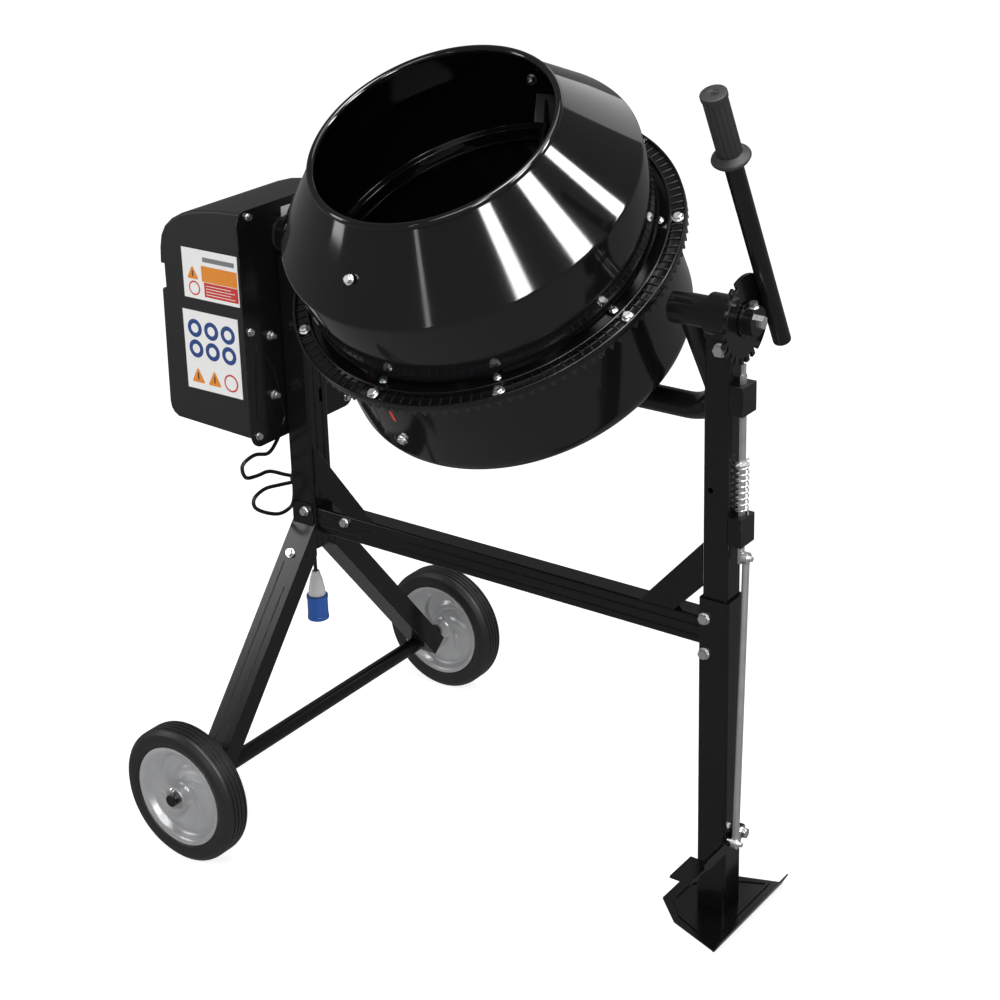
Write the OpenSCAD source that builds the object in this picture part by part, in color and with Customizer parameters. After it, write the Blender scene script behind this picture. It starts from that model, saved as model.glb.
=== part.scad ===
// Electric tilting-drum concrete mixer.
// X runs from the motor post to the lever post, -Y is the side the drum tips to, Z is up.
// Origin: on the floor, under the middle of the lever post's foot plate.

/* [Frame] */
// Distance between the centre lines of the two posts
post_span = 800; // [760:10:900]
// Height of the drum's tilt axis above the floor
tilt_h = 980; // [940:5:1060]
// Side of the upper post's square tube
post_w = 42; // [38:1:44]
// Side of the lower leg's square tube
leg_w = 50; // [48:1:60]
// Wall of the lower leg's square tube
leg_wall = 3.7; // [2:0.1:4]
// Side of the motor post's square tube
motor_post_w = 50; // [46:1:60]
// Wall of the square tubes and channels
tube_wall = 2.5; // [1.5:0.1:4]
// Height of the cross beam's lower face above the floor
beam_z = 462; // [430:2:490]
// Height of the cross beam's section
beam_h = 45; // [36:1:60]
// Depth of the cross beam's section
beam_d = 40; // [30:1:50]
// Width of the sheet braces
brace_w = 44; // [30:1:60]
// How far the lever post's brace runs along the beam
brace_run = 67; // [50:1:110]
// Thickness of the foot plate, the tabs and the braces
sheet = 3; // [2:0.5:5]

/* [Foot plate] */
// Length of the foot plate along its raised lip
foot_l = 216; // [160:4:260]
// Distance from the leg's centre to the lip
foot_out = 55; // [40:1:80]
// Distance from the leg's centre to the plate's inner point
foot_in = 82; // [60:2:110]
// Height of the raised lip
foot_lip = 22; // [10:1:40]
// Height of the socket that holds the leg
foot_socket_h = 34; // [20:1:60]

/* [Wheels] */
// Radius of the tyre
wheel_r = 118; // [100:1:130]
// Radius where the tyre sits on the rim
rim_r = 86; // [70:1:95]
// Width of the tyre
tyre_w = 50; // [36:1:60]
// Distance from the middle of the machine to the middle of each wheel
wheel_y = 350; // [335:5:400]
// Diameter of the axle tube
axle_d = 27; // [22:1:32]
// Diameter of the axle ends in the wheels
axle_pin_d = 20; // [14:1:22]
// Distance from the middle to the foot of each wheel leg
leg_foot_y = 290; // [260:5:300]
// Depth of the wheel leg's channel
wheel_leg_d = 36; // [30:1:44]

/* [Drum] */
// Lean of the drum axis from vertical as it stands
drum_lean = 30; // [20:1:40]
// Radius of the mouth, outside the rolled rim
mouth_r = 195; // [150:1:220]
// Distance of the mouth from the tilt axis along the drum axis
mouth_d = 287; // [250:1:320]
// Radius of the fold between cone and band
fold_r = 281; // [276:1:300]
// Distance of the fold from the tilt axis
fold_d = 170; // [140:1:200]
// Radius of the bowl
bowl_r = 278; // [270:1:280]
// Distance of the bowl's bottom from the tilt axis
bowl_d = 155; // [130:1:165]
// Radius of the bowl's corner
bowl_corner = 32; // [20:1:60]
// Thickness of the drum sheet
drum_t = 2; // [1.5:0.1:3]
// Radius of the rolled rim's bead
bead_r = 6; // [4:0.5:9]
// Number of bolts round the ring gear
ring_bolt_n = 9; // [6:1:12]

/* [Gears] */
// Module of the ring gear and the pinion
gear_m = 5; // [5:1:5]
// Teeth on the ring gear
ring_teeth = 120; // [120:2:124]
// Teeth on the pinion
pinion_teeth = 12; // [11:1:13]
// Width of the ring gear's teeth
tooth_w = 22; // [16:1:24]
// Gap between the flanks of meshed teeth
backlash = 1.4; // [0.8:0.1:2]

/* [Tilting yoke] */
// Diameter of the yoke's tilt tubes
tilt_tube_d = 48; // [44:1:50]
// Wall of the yoke's tubes
yoke_wall = 4; // [3:0.5:6]
// Diameter of the yoke's bent tube
yoke_d = 42; // [34:1:44]
// Distance from the tilt axis to the middle of the yoke's cross tube
yoke_drop = 228; // [224:2:260]
// Distance from the drum axis to each yoke arm
yoke_x = 346; // [342:1:352]
// Radius of the yoke's bends
yoke_bend = 74; // [60:2:90]
// Diameter of the drum spindle
spindle_d = 30; // [24:1:36]
// Diameter of the index disc
disc_d = 132; // [120:2:150]
// Thickness of the index disc
disc_t = 5; // [4:0.5:8]
// Angle between two notches of the index disc
notch_pitch = 15; // [15:15:30]
// Width of each notch
notch_w = 8; // [7:0.5:10]
// Depth of each notch
notch_depth = 10; // [8:1:14]
// Diameter of the lever's tube
lever_d = 27; // [22:1:34]
// Length of the lever
lever_l = 446; // [380:2:500]
// Lean of the lever from vertical as it stands
lever_lean = 27; // [20:1:36]
// Length of the lever's grip
grip_l = 108; // [90:2:140]

/* [Latch] */
// Width of the latch bar
latch_w = 12; // [10:1:14]
// Thickness of the latch bar
latch_t = 5; // [4:0.5:6]
// Length of the latch bar
latch_l = 310; // [290:5:330]
// Diameter of the pull rod
rod_d = 11; // [8:1:14]
// Height of the pedal's pivot above the floor
pedal_z = 140; // [130:2:180]
// Distance from the pedal's pivot to the rod's pin
pedal_arm = 32; // [28:1:40]

/* [Motor housing] */
// Depth of the motor cover
cover_depth = 192; // [170:2:220]
// Width of the motor cover
cover_w = 246; // [230:2:270]
// Height of the motor cover above the tilt axis
cover_up = 57; // [56:1:80]
// Depth of the motor cover below the tilt axis
cover_down = 333; // [311:2:350]
// Wall of the motor cover
cover_wall = 3; // [2:0.5:5]
// Diameter of the motor
motor_d = 116; // [100:2:130]
// Length of the motor's body
motor_l = 104; // [90:2:120]
// Distance of the motor's axis below the tilt axis
motor_drop = 215; // [205:5:230]
// Radius of the driven pulley's belt line
pulley_r = 44; // [40:1:46]
// Radius of the motor pulley's belt line
motor_pulley_r = 11; // [11:0.5:14]
// Diameter of the power cord
cord_d = 6.5; // [5:0.5:7]

/* [Hidden] */
$fn = 64;

cut = 1;                             // how far a cutter runs past a face
fit = 0.3;                           // gap between pieces that only sit by each other
run_fit = 0.04;                      // radial gap of a shaft in its bearing
left_x = -post_span;
right_x = 0;
mid_x = -post_span / 2;              // the drum hangs midway between the posts
leg_in = leg_w - 2 * leg_wall;
post_clear = (leg_in - post_w) / 2;
rib_in = 14;                         // from the foot plate's edge to its raised rib
lip_lean = 12;                       // how far the lip leans out
saddle_h = 31;                       // from the post's top to the tilt axis
post_top = tilt_h - saddle_h;
post_foot = beam_z - 30;
leg_foot_z = sheet + 15;
leg_top = beam_z + beam_h + 35;
bolt_d = 8;
bolt_head_d = 16;
bolt_head_h = 6;
bearing_d = 62;
bearing_w = 42;
hole_below = 233;                    // adjusting hole in the lever post, below its top
slot_below = 258;                    // slot in the motor post, below its top
groove_y = 9;                        // grooves in the motor post, to each side
corner_r = 5;                         // corner radius of the square tubes
beam_y = -beam_d / 2;
plate_t = 2;
plate_x = left_x - motor_post_w / 2; // inner face of the motor plate
cover_x = plate_x - plate_t;         // open face of the motor cover
cover_out = cover_x - cover_depth;
cover_y0 = -cover_w / 2 + 19;
cover_y1 = cover_w / 2 + 19;
plate_rim = 8;                       // how far the motor plate runs past the cover
motor_bolt = 52;                     // motor bolts, up, down and to each side of its axis
switch_z = tilt_h - 76;
switch_y = cover_y0 + 50;
recess = 10;                         // how deep the switch sits in the cover
switch_w = 72;
switch_h = 38;
button_gap = 16;                     // each button, from the middle of the switch
button_d = 20;
motor_shaft_d = 14;

ring_r = gear_m * ring_teeth / 2;    // pitch radius of the ring gear
pinion_r = gear_m * pinion_teeth / 2;
ring_out = ring_r + tooth_w / 2 + 1; // outer edge of the ring gear
ring_base = pinion_r + 5.4;          // under side of the ring's web
ring_web = 4;
ring_top = ring_base + ring_web;
lip_r = ring_r - tooth_w / 2 - 3;    // inner upright lip
lip_h = 11;
neck_r = bowl_r - 15;
ring_in = neck_r - 4;
band_d = 57;                         // lower edge of the band
band_r = fold_r - 6;
small_bolt_r = neck_r + 8;
hub_r = 46;
hub_bore = 50;                       // seats of the drum's two bearings
yoke_top = -yoke_drop + yoke_d / 2;
spindle_top = -bowl_d + 32;
tube_in = tilt_tube_d - 2 * yoke_wall;
tilt_tube_x = ring_out + 6;
disc_x = right_x + bearing_w / 2 + 9;
shaft_d = 20;
pulley_w = 18;
motor_behind = 20;                   // from the belt to the motor's face
belt_x = cover_x - 22;
axle_end = wheel_y + tyre_w / 2 + 14;
leg_angle = atan2(beam_z - wheel_r, leg_foot_y - motor_post_w / 2 + 10);
leg_run = 560;                       // uncut length of a wheel leg
leg_hollow = 330;                    // how far its hollow runs up
leg_reach = 400;                     // past the leg's foot, across Y
tab_h = 72;
small_head_d = 14;
latch_x = disc_x + disc_t / 2;
latch_tip = tilt_h - disc_d / 2 - 1;
latch_foot = latch_tip - latch_l;
guide_x = right_x + post_w / 2;
guide_h = 45;
low_guide_z = latch_foot + 32;
top_guide_z = latch_tip - 74;
spring_len = 78;
spring_z = low_guide_z + guide_h + fit;
pedal_y = 12;
pin_y = pedal_y - pedal_arm;
pedal_x = right_x + leg_w / 2 + 3;
slot_w = 9.4;                        // width of the pedal's slot for the rod's pin
slot_run = 3.5;                      // how far the slot runs out from the pin
rod_x = latch_x + latch_t / 2 + rod_d / 2 + fit;
lever_x = disc_x + disc_t + lever_d / 2;
lever_back = 50;                     // from the tilt axis to the lever's centre line
lever_foot = 84;                     // how far the lever runs below the tilt axis
collar_d = 44;                       // collar welded to the index disc
collar_l = 20;
blade_turn = 119;                    // where the first blade stands on the bowl's floor
blade_lean = 23;
blade_foot_r = 196;
blade_t = 4;
exit_x = cover_x - 42;
clip_place = [-834, -8, 541];        // foot of the cord's clip
clip_h = 6;
plug_place = [-836, 36, 260];        // mouth of the plug's shroud

// Route of the cord, from the gland to the plug
cord_route = [[exit_x, 6, 640], [exit_x, 6, 622], [-862, -16, 606], [-850, -50, 601], [-845, -88, 612],
  [-845, -118, 604], [-846, -112, 580], [-848, -84, 572], [-850, -50, 568], [-846, -18, 552], [-846, 4, 540],
  [-850, 10, 528], [-853, -20, 532], [-854, -58, 538], [-852, -88, 532], [-850, -90, 516], [-848, -66, 498],
  [-846, -34, 485], [-843, -8, 490], [-835, -8, 512], [-834, -8, 534], [-834, -8, 556], [-834, 4, 572],
  [-834, 22, 568], [-834, 33, 548], [-835, 36, 500], [-836, 36, 430], [-836, 36, 352]];
cord_sides = 10;
cord_steps = 3;

// ---------- shared shapes ----------

module steel() color("#1a1a1c") children();
module zinc() color("#b8b8ba") children();

module round_rect(w, h, r) {
  square([w - 2 * r, h], center = true);
  square([w, h - 2 * r], center = true);
  for (sx = [-1, 1], sy = [-1, 1])
    translate([sx * (w / 2 - r), sy * (h / 2 - r)]) circle(r);
}

module square_tube(w, d, wall, z0, z1) {
  translate([0, 0, z0]) linear_extrude(z1 - z0) difference() {
    round_rect(w, d, corner_r);
    square([w - 2 * wall, d - 2 * wall], center = true);
  }
}

// A cylinder along +X from x0 to x1
module rod_x(d, x0, x1) {
  translate([x0, 0, 0]) rotate([0, 90, 0]) cylinder(d = d, h = x1 - x0);
}

// A cylinder along +Y from y0 to y1
module rod_y(d, y0, y1) {
  translate([0, y0, 0]) rotate([-90, 0, 0]) cylinder(d = d, h = y1 - y0);
}

// A hexagon head with its washer, seated on z = 0
module bolt_head(d = bolt_head_d, h = bolt_head_h) {
  cylinder(d = d * 1.2, h = 1.5);
  translate([0, 0, 1.5]) cylinder(d = d, h = h, $fn = 6);
}

module at_tilt() translate([0, 0, tilt_h]) children();
module at_drum() translate([mid_x, 0, tilt_h]) rotate([drum_lean, 0, 0]) children();
module round_ring(n, r, start = 0) {
  for (i = [0:n - 1]) rotate([0, 0, start + i * 360 / n]) translate([r, 0, 0]) children();
}

// ---------- stand ----------

module right_post() steel() translate([right_x, 0, 0]) difference() {
  square_tube(post_w, post_w, tube_wall, post_foot, post_top);
  translate([-8, 0, post_top - hole_below]) rod_y(9, -post_w, 0);
}

module right_leg() steel() translate([right_x, 0, 0])
  square_tube(leg_w, leg_w, leg_wall, leg_foot_z, leg_top);

module foot_outline(grow = 0) {
  half = foot_l / 2 - grow;
  mid = 76 - grow;
  tip = 32 - grow / 2;
  polygon([[foot_out - grow, -half], [foot_out - grow, half], [-35, mid],
    [-foot_in + grow, tip], [-foot_in + grow, -tip], [-35, -mid]]);
}

module foot_plate() steel() translate([right_x, 0, 0]) {
  linear_extrude(sheet) foot_outline();
  translate([foot_out - sheet, foot_l / 2, 0]) rotate([90, 0, 0]) linear_extrude(foot_l)
    polygon([[0, 0], [sheet, 0], [sheet + lip_lean, foot_lip], [lip_lean, foot_lip]]);
  translate([0, 0, sheet]) linear_extrude(2) difference() {
    foot_outline(rib_in);
    foot_outline(rib_in + 5);
  }
  translate([0, 0, sheet - 0.5]) linear_extrude(leg_foot_z - sheet + 0.5) difference() {
    round_rect(leg_w, leg_w, 5);
    square(leg_w - 2 * leg_wall, center = true);
  }
  translate([0, 0, sheet - 0.5]) linear_extrude(foot_socket_h) difference() {
    round_rect(leg_in - 2 * post_clear, leg_in - 2 * post_clear, 4);
    square(leg_in - 2 * post_clear - 2 * tube_wall, center = true);
  }
}

module left_post() steel() translate([left_x, 0, 0]) difference() {
  square_tube(motor_post_w, motor_post_w, tube_wall, post_foot, post_top);
  for (y = [-groove_y, groove_y]) translate([motor_post_w / 2, y, post_foot - cut])
    cylinder(r = 1.6, h = post_top - post_foot + 2 * cut);
  translate([motor_post_w / 2 - 5, 4, post_top - slot_below]) cube([10, 8, 24]);
}

module cross_beam() steel() {
  x0 = left_x + motor_post_w / 2;
  x1 = right_x - leg_w / 2;
  translate([x0, 0, beam_z + beam_h / 2]) rotate([90, 0, 90]) linear_extrude(x1 - x0) difference() {
    round_rect(beam_d, beam_h, 5);
    square([beam_d - 2 * tube_wall, beam_h - 2 * tube_wall], center = true);
    for (z = [-8, 8]) translate([-beam_d / 2, z]) circle(1.8);
  }
}

// A sheet brace from the beam up to a post; side is +1 for the right-hand post
module brace(side, post_face, run, rise) steel() {
  bx = post_face - side * run;
  z0 = beam_z + beam_h;
  translate([0, -beam_d / 2 + sheet, 0]) rotate([90, 0, 0]) linear_extrude(sheet) polygon([
    [bx - side * brace_w, z0], [bx + side * brace_w * 0.4, z0],
    [post_face, z0 + rise - brace_w], [post_face, z0 + rise + brace_w * 0.6]]);
  translate([0, -beam_d / 2 + sheet + 14, 0]) rotate([90, 0, 0]) linear_extrude(14) polygon([
    [bx + side * brace_w * 0.4 - side * sheet, z0], [bx + side * brace_w * 0.4, z0],
    [post_face, z0 + rise - brace_w], [post_face, z0 + rise - brace_w + sheet]]);
}

module left_brace() brace(-1, left_x + motor_post_w / 2, brace_run + 14, 86);
module right_brace() brace(1, right_x - post_w / 2, brace_run, 96);

// The frame of a wheel leg: Z runs up the leg from the axle, Y faces away from the post
module on_leg(side) translate([left_x, side * leg_foot_y, wheel_r]) rotate([side * (90 - leg_angle), 0, 0])
  children();

// A box-section leg from the motor post to the axle, with a bolted tab; side is +1 for the rear leg
module wheel_leg(side) steel() {
  face = side * motor_post_w / 2;
  tab_w = motor_post_w - 6;
  tab_y = side > 0 ? face : face - sheet;
  below = 19;
  difference() {
    union() {
      intersection() {
        on_leg(side) translate([-motor_post_w / 2, -wheel_leg_d / 2, -below])
          cube([motor_post_w, wheel_leg_d, leg_run]);
        translate([left_x - motor_post_w, side > 0 ? face : face - leg_reach, 0])
          cube([2 * motor_post_w, leg_reach, beam_z + 60]);
      }
      translate([left_x - tab_w / 2, tab_y, beam_z - 20]) cube([tab_w, sheet, tab_h]);
    }
    on_leg(side) translate([-motor_post_w / 2 + tube_wall, -wheel_leg_d / 2 + tube_wall, -below - cut])
      cube([motor_post_w - 2 * tube_wall, wheel_leg_d - 2 * tube_wall, leg_hollow]);
    translate([left_x, side * leg_foot_y, wheel_r]) rod_y(axle_d + 2 * run_fit, -60, 60);
  }
}

module front_wheel_leg() wheel_leg(-1);
module rear_wheel_leg() wheel_leg(1);

module axle() zinc() translate([left_x, 0, wheel_r]) difference() {
  union() {
    rod_y(axle_d, -wheel_y + tyre_w / 2 + 4, wheel_y - tyre_w / 2 - 4);
    rod_y(axle_pin_d, -axle_end, axle_end);
  }
  for (s = [-1, 1]) translate([0, s * (axle_end - 5), -axle_d]) cylinder(d = 4.2, h = 2 * axle_d);
}

module wheel_retainers() zinc() translate([left_x, 0, wheel_r]) for (s = [-1, 1]) {
  y0 = s * (wheel_y + tyre_w / 2 + 1.5);
  difference() {
    rod_y(36, min(y0, y0 + s * 3), max(y0, y0 + s * 3));
    rod_y(axle_pin_d + 0.1, -axle_end - cut, axle_end + cut);
  }
  translate([0, s * (axle_end - 5), -16]) cylinder(d = 4, h = 32);
  translate([0, s * (axle_end - 5), 18]) rotate([0, 90, 0]) rotate_extrude() translate([4, 0]) circle(1.5);
}

module frame_bolts() zinc() {
  for (z = [beam_z - 10, beam_z + 48])
    translate([right_x - 14, -leg_w / 2, z]) rotate([90, 0, 0]) bolt_head();
  translate([right_x + 6, -post_w / 2, post_top - 14]) rotate([90, 0, 0]) bolt_head(18, 7);
  for (s = [-1, 1]) {
    translate([left_x + 6, s * (motor_post_w / 2 + sheet), beam_z + 38])
      rotate([-s * 90, 0, 0]) bolt_head(small_head_d);
    on_leg(s) translate([-2, s * wheel_leg_d / 2, 388]) rotate([-s * 90, 0, 0]) bolt_head(small_head_d);
  }
  translate([left_x + motor_post_w / 2 + 62, -beam_d / 2, beam_z + beam_h - 12])
    rotate([90, 0, 0]) bolt_head(small_head_d);
}

// A bearing sleeve welded to a saddle on top of a post
module bearing(x, w) steel() translate([x, 0, 0]) difference() {
  union() {
    at_tilt() rod_x(bearing_d, -bearing_w / 2, bearing_w / 2);
    translate([-w / 2, -w / 2, post_top]) cube([w, w, saddle_h]);
  }
  at_tilt() rod_x(tilt_tube_d + 2 * run_fit, -bearing_w, bearing_w);
}

module left_bearing() bearing(left_x, bearing_w);
module right_bearing() bearing(right_x, post_w);

// ---------- drive housing ----------

module motor_plate() steel() difference() {
  translate([plate_x, 0, 0]) rotate([0, -90, 0]) linear_extrude(plate_t)
    translate([tilt_h + (cover_up - cover_down) / 2 - 6, (cover_y0 + cover_y1) / 2])
      round_rect(cover_up + cover_down + 2 * plate_rim, cover_w + 2 * plate_rim, 24);
  at_tilt() rod_x(bearing_d + 2, cover_x - cut, plate_x + cut);
  translate([0, 0, tilt_h - motor_drop]) rod_x(34, cover_x - cut, plate_x + cut);
  for (y = [-motor_bolt, motor_bolt], z = [-motor_bolt, motor_bolt])
    translate([0, y, tilt_h - motor_drop + z]) rod_x(8.6, cover_x - cut, plate_x + cut);
}

// Section of the motor cover across Y, as depth from the plate and height from the tilt axis
module cover_section(inset = 0) {
  d = cover_depth - inset;
  up = cover_up - inset;
  down = cover_down - inset;
  polygon([[0, up], [0.29 * d, up - 3], [0.52 * d, up - 9], [0.68 * d, up - 18], [0.8 * d, up - 30],
    [0.89 * d, up - 45], [0.94 * d, up - 62], [0.965 * d, up - 84], [0.975 * d, up - 112],
    [d, -down + 34], [d - 2, -down + 22], [d - 8, -down + 13], [d - 18, -down + 7], [0, -down]]);
}

module cover_solid(inset = 0) {
  y1 = cover_y1 - inset;
  w = cover_w - 2 * inset;
  translate([cover_x, y1, tilt_h]) rotate([90, 0, 0]) mirror([1, 0, 0])
    linear_extrude(w) cover_section(inset);
}

module motor_cover() color("#3c3d40") difference() {
  cover_solid();
  difference() {
    translate([fit, 0, 0]) cover_solid(cover_wall);
    translate([cover_out - 20, cover_y0 - 1, switch_z - 26]) cube([20 + recess + 2 * cover_wall + 4, 104, 52]);
  }
  translate([cover_out - 20, cover_y0 - 1, switch_z - 23]) cube([20 + recess + 6, 95, 46]);
  translate([cover_out, switch_y, switch_z]) rotate([0, 90, 0]) linear_extrude(60)
    square([switch_h + 2 * fit, switch_w + 2 * fit], center = true);
  translate([exit_x, 6, tilt_h - cover_down - 6]) cylinder(d = 12.4, h = 20);
  for (z = [0:4]) translate([cover_out - 10, cover_y0 + 70, tilt_h - 220 - z * 14]) cube([60, 110, 5]);
}

module cover_screws() zinc() {
  for (p = [[cover_y0 + 18, cover_up - 10], [36, cover_up - 8], [cover_y0 + 5, -144],
      [cover_y0 + 8, -cover_down + 6], [cover_y1 - 12, -cover_down + 2]])
    translate([plate_x, p[0], tilt_h + p[1]]) rotate([0, 90, 0]) bolt_head(11, 5);
}

module motor_housing() color("#8d9094") translate([0, 0, tilt_h - motor_drop]) {
  x1 = belt_x - motor_behind;
  difference() {
    union() {
      rod_x(motor_d, x1 - motor_l, x1);
      for (a = [0:20:340]) rotate([a, 0, 0]) translate([x1 - motor_l + 8, -1.2, motor_d / 2 - 1])
        cube([motor_l - 16, 2.4, 5]);
      for (y = [-motor_bolt, motor_bolt], z = [-motor_bolt, motor_bolt]) {
        translate([0, y, z]) rod_x(12, x1 - 8, cover_x);
        translate([x1 - 8, min(y, 0.55 * y), z - 8]) cube([8, 0.45 * abs(y), 16]);
      }
      for (y = [-motor_bolt, motor_bolt], z = [-motor_bolt, motor_bolt]) translate([0, y, z]) rod_x(8, cover_x - cut, plate_x + 12);
    }
    rod_x(motor_shaft_d + 2 * run_fit, x1 - motor_l - cut, x1 + cut);
  }
}

module motor_capacitor() color("#d9d9d4")
  translate([0, cover_y1 - 26, tilt_h - motor_drop + 20]) rod_x(34, cover_x - 120, cover_x);

module switch_box() color("#e0b020") difference() {
  translate([cover_out + recess, switch_y - switch_w / 2, switch_z - switch_h / 2]) cube([34, switch_w, switch_h]);
  for (s = [-1, 1]) translate([0, switch_y + s * button_gap, switch_z])
    rod_x(button_d + 1, cover_out + recess - cut, cover_out + recess + 12);
}

module button(s, c) color(c) translate([0, switch_y + s * button_gap, switch_z])
  rod_x(button_d, cover_out + recess - 5, cover_out + recess + 6);
module start_button() button(-1, "#2a9d48");
module stop_button() button(1, "#c62828");

module drive_belt() color("#151515") translate([belt_x, 0, tilt_h]) rotate([0, 90, 0])
  linear_extrude(8, center = true) difference() {
    belt_outline(5.4);
    belt_outline(0.4);
  }

// The loop round both pulleys, grown outwards from their belt lines
module belt_outline(grow) hull() {
  circle(pulley_r + grow);
  translate([motor_drop, 0]) circle(motor_pulley_r + grow);
}

module cable_gland() color("#222224") translate([exit_x, 6, tilt_h - cover_down + 4]) difference() {
  union() {
    translate([0, 0, -16]) cylinder(d = 12, h = 24);
    translate([0, 0, -12]) cylinder(d = 20, h = 7, $fn = 6);
  }
  translate([0, 0, -20]) cylinder(d = cord_d + 1, h = 40);
}

module cable_clip() color("#1d1d1f") translate(clip_place) difference() {
  union() {
    cylinder(d = cord_d + 5, h = clip_h);
    translate([0, -clip_h / 2, 0]) cube([left_x - motor_post_w / 2 - clip_place[0], clip_h, clip_h]);
  }
  translate([0, 0, -cut]) cylinder(d = cord_d + 1.6, h = clip_h + 2 * cut);
}

// Plain panels: two on the cover's tipping side, as depth from its open face and height from the
// tilt axis, and one on the motor plate
module label_panels() color("#f2f2ee") {
  film = 0.4;
  for (p = [[11, 134, -103, 86], [19, 142, -264, 139]])
    translate([cover_x - p[1], cover_y0 - film, tilt_h + p[2]]) cube([p[1] - p[0], film, p[3]]);
  translate([plate_x, -6, tilt_h + 21]) cube([film, 33, 24]);
}

// ---------- latch ----------

module latch_guides() steel() for (z = [low_guide_z, top_guide_z])
  translate([guide_x, -post_w / 2 + 1, z]) difference() {
    cube([latch_x - guide_x + latch_t / 2 + 8, post_w - 2, guide_h]);
    translate([-cut, sheet, -cut])
      cube([latch_x - guide_x + latch_t / 2 + 8 - sheet + cut, post_w - 2 - 2 * sheet, guide_h - sheet + cut]);
    translate([latch_x - guide_x - latch_t / 2 - fit, post_w / 2 - 1 - latch_w / 2 - fit, -cut])
      cube([latch_t + 2 * fit, latch_w + 2 * fit, guide_h + 2 * cut]);
  }

module latch_bar() zinc() {
  translate([latch_x - latch_t / 2, -latch_w / 2, latch_foot]) cube([latch_t, latch_w, latch_l - 16]);
  translate([latch_x - latch_t / 2, -3, latch_foot]) cube([latch_t, 6, latch_l]);
  translate([latch_x, 0, spring_z + spring_len]) difference() {
    cylinder(d = 21, h = 2);
    translate([-latch_t / 2, -latch_w / 2, -cut]) cube([latch_t, latch_w, 4]);
  }
  translate([latch_x, 0, spring_z + spring_len + 4]) rod_y(3, -18, 18);
}

module latch_spring() color("#c8c8ca") {
  turns = 8;
  wire = 2.2;
  r = 9.4;
  steps = 12 * turns;
  pts = [for (i = [0:steps]) let (a = i * 30)
    [latch_x + r * cos(a), r * sin(a), spring_z + wire / 2 + (spring_len - wire - fit) * i / steps]];
  swept(pts, wire / 2, 6);
}

module pull_rod() zinc() {
  top = latch_foot + 10;
  lean = atan2(pin_y, top - pedal_z);
  x1 = rod_x + rod_d / 2;
  eye = rod_d / 2 - 1;
  translate([rod_x, 0, top]) rotate([lean + 180, 0, 0])
    cylinder(d = rod_d, h = norm([top - pedal_z, pin_y]));
  translate([0, 0, top]) rod_x(18, rod_x - eye, rod_x + eye);
  translate([0, 0, top]) rod_x(8, latch_x + latch_t / 2, x1 + 5);
  translate([0, pin_y, pedal_z]) rod_x(18, rod_x - eye, rod_x + eye);
  translate([0, pin_y, pedal_z]) rod_x(7, pedal_x - 1, x1 + 6);
}

module foot_pedal() steel() difference() {
  union() {
    translate([pedal_x, pedal_y, pedal_z]) rotate([90, 0, 90]) linear_extrude(5) {
      circle(d = 26);
      translate([-104, -14]) square([104, 18]);
    }
    translate([right_x - 3, -142, pedal_z - 10]) cube([pedal_x + 5 - right_x + 3, 62, 4]);
    translate([pedal_x, -100, pedal_z - 10]) cube([5, 40, 12]);
  }
  translate([0, pedal_y, pedal_z]) rod_x(12 + 2 * run_fit, pedal_x - cut, pedal_x + 6);
  for (y = [-slot_run, 1]) translate([0, pin_y + y, pedal_z]) rod_x(slot_w, pedal_x - cut, pedal_x + 6);
  translate([pedal_x - cut, pin_y - slot_run, pedal_z - slot_w / 2]) cube([cut + 6, slot_run + 1, slot_w]);
}

module pedal_pivot() zinc() {
  translate([0, pedal_y, pedal_z]) rod_x(12, right_x + leg_w / 2, pedal_x + 6);
  translate([0, pedal_y, pedal_z]) rod_x(20, right_x + leg_w / 2, pedal_x - fit);
  translate([pedal_x + 5 + fit, pedal_y, pedal_z]) rotate([0, 90, 0]) bolt_head(17, 8);
}

// ---------- cord ----------

function smooth(p, i, t) = let (n = len(p) - 1, a = p[max(i - 1, 0)], b = p[i], c = p[min(i + 1, n)],
  d = p[min(i + 2, n)]) 0.5 * (2 * b + (c - a) * t + (2 * a - 5 * b + 4 * c - d) * t * t
  + (3 * b - a - 3 * c + d) * t * t * t);
function unit(v) = v / norm(v);
function path(p, k) = concat([for (i = [0:len(p) - 2], j = [0:k - 1]) smooth(p, i, j / k)], [p[len(p) - 1]]);
function tangent(p, i) = unit(p[min(i + 1, len(p) - 1)] - p[max(i - 1, 0)]);
function side_of(t, prev) = unit(prev - (prev * t) * t);
function sides(p) = [for (i = 0, s = side_of(tangent(p, 0), [1, 0.2, 0.1]); i < len(p); i = i + 1,
  s = side_of(tangent(p, min(i, len(p) - 1)), s)) s];

// A round tube along a list of points
module swept(p, r, n) {
  s = sides(p);
  rings = [for (i = [0:len(p) - 1]) let (t = tangent(p, i), u = s[i], v = cross(t, u))
    for (k = [0:n - 1]) p[i] + r * (cos(360 * k / n) * u + sin(360 * k / n) * v)];
  faces = concat([[for (k = [0:n - 1]) k]],
    [for (i = [0:len(p) - 2], k = [0:n - 1]) [i * n + k, (i + 1) * n + k,
      (i + 1) * n + (k + 1) % n, i * n + (k + 1) % n]],
    [[for (k = [n - 1:-1:0]) (len(p) - 1) * n + k]]);
  polyhedron(rings, faces);
}

module power_cord() color("#202022") swept(path(cord_route, cord_steps), cord_d / 2, cord_sides);

// The plug's body with its pins, over the shroud's mouth
module plug_body() color("#e8e8ea") translate(plug_place) {
  translate([0, 0, 46]) cylinder(d1 = 27, d2 = 12, h = 46);
  for (a = [0:120:240]) rotate([0, 0, a]) translate([8, 0, 24]) cylinder(d = 4, h = 18 - fit);
}

module plug_shroud() color("#2458a8") translate(plug_place) difference() {
  cylinder(d = 38, h = 46);
  translate([0, 0, -cut]) cylinder(d = 32, h = 42 + cut);
}

// ---------- yoke ----------

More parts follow.
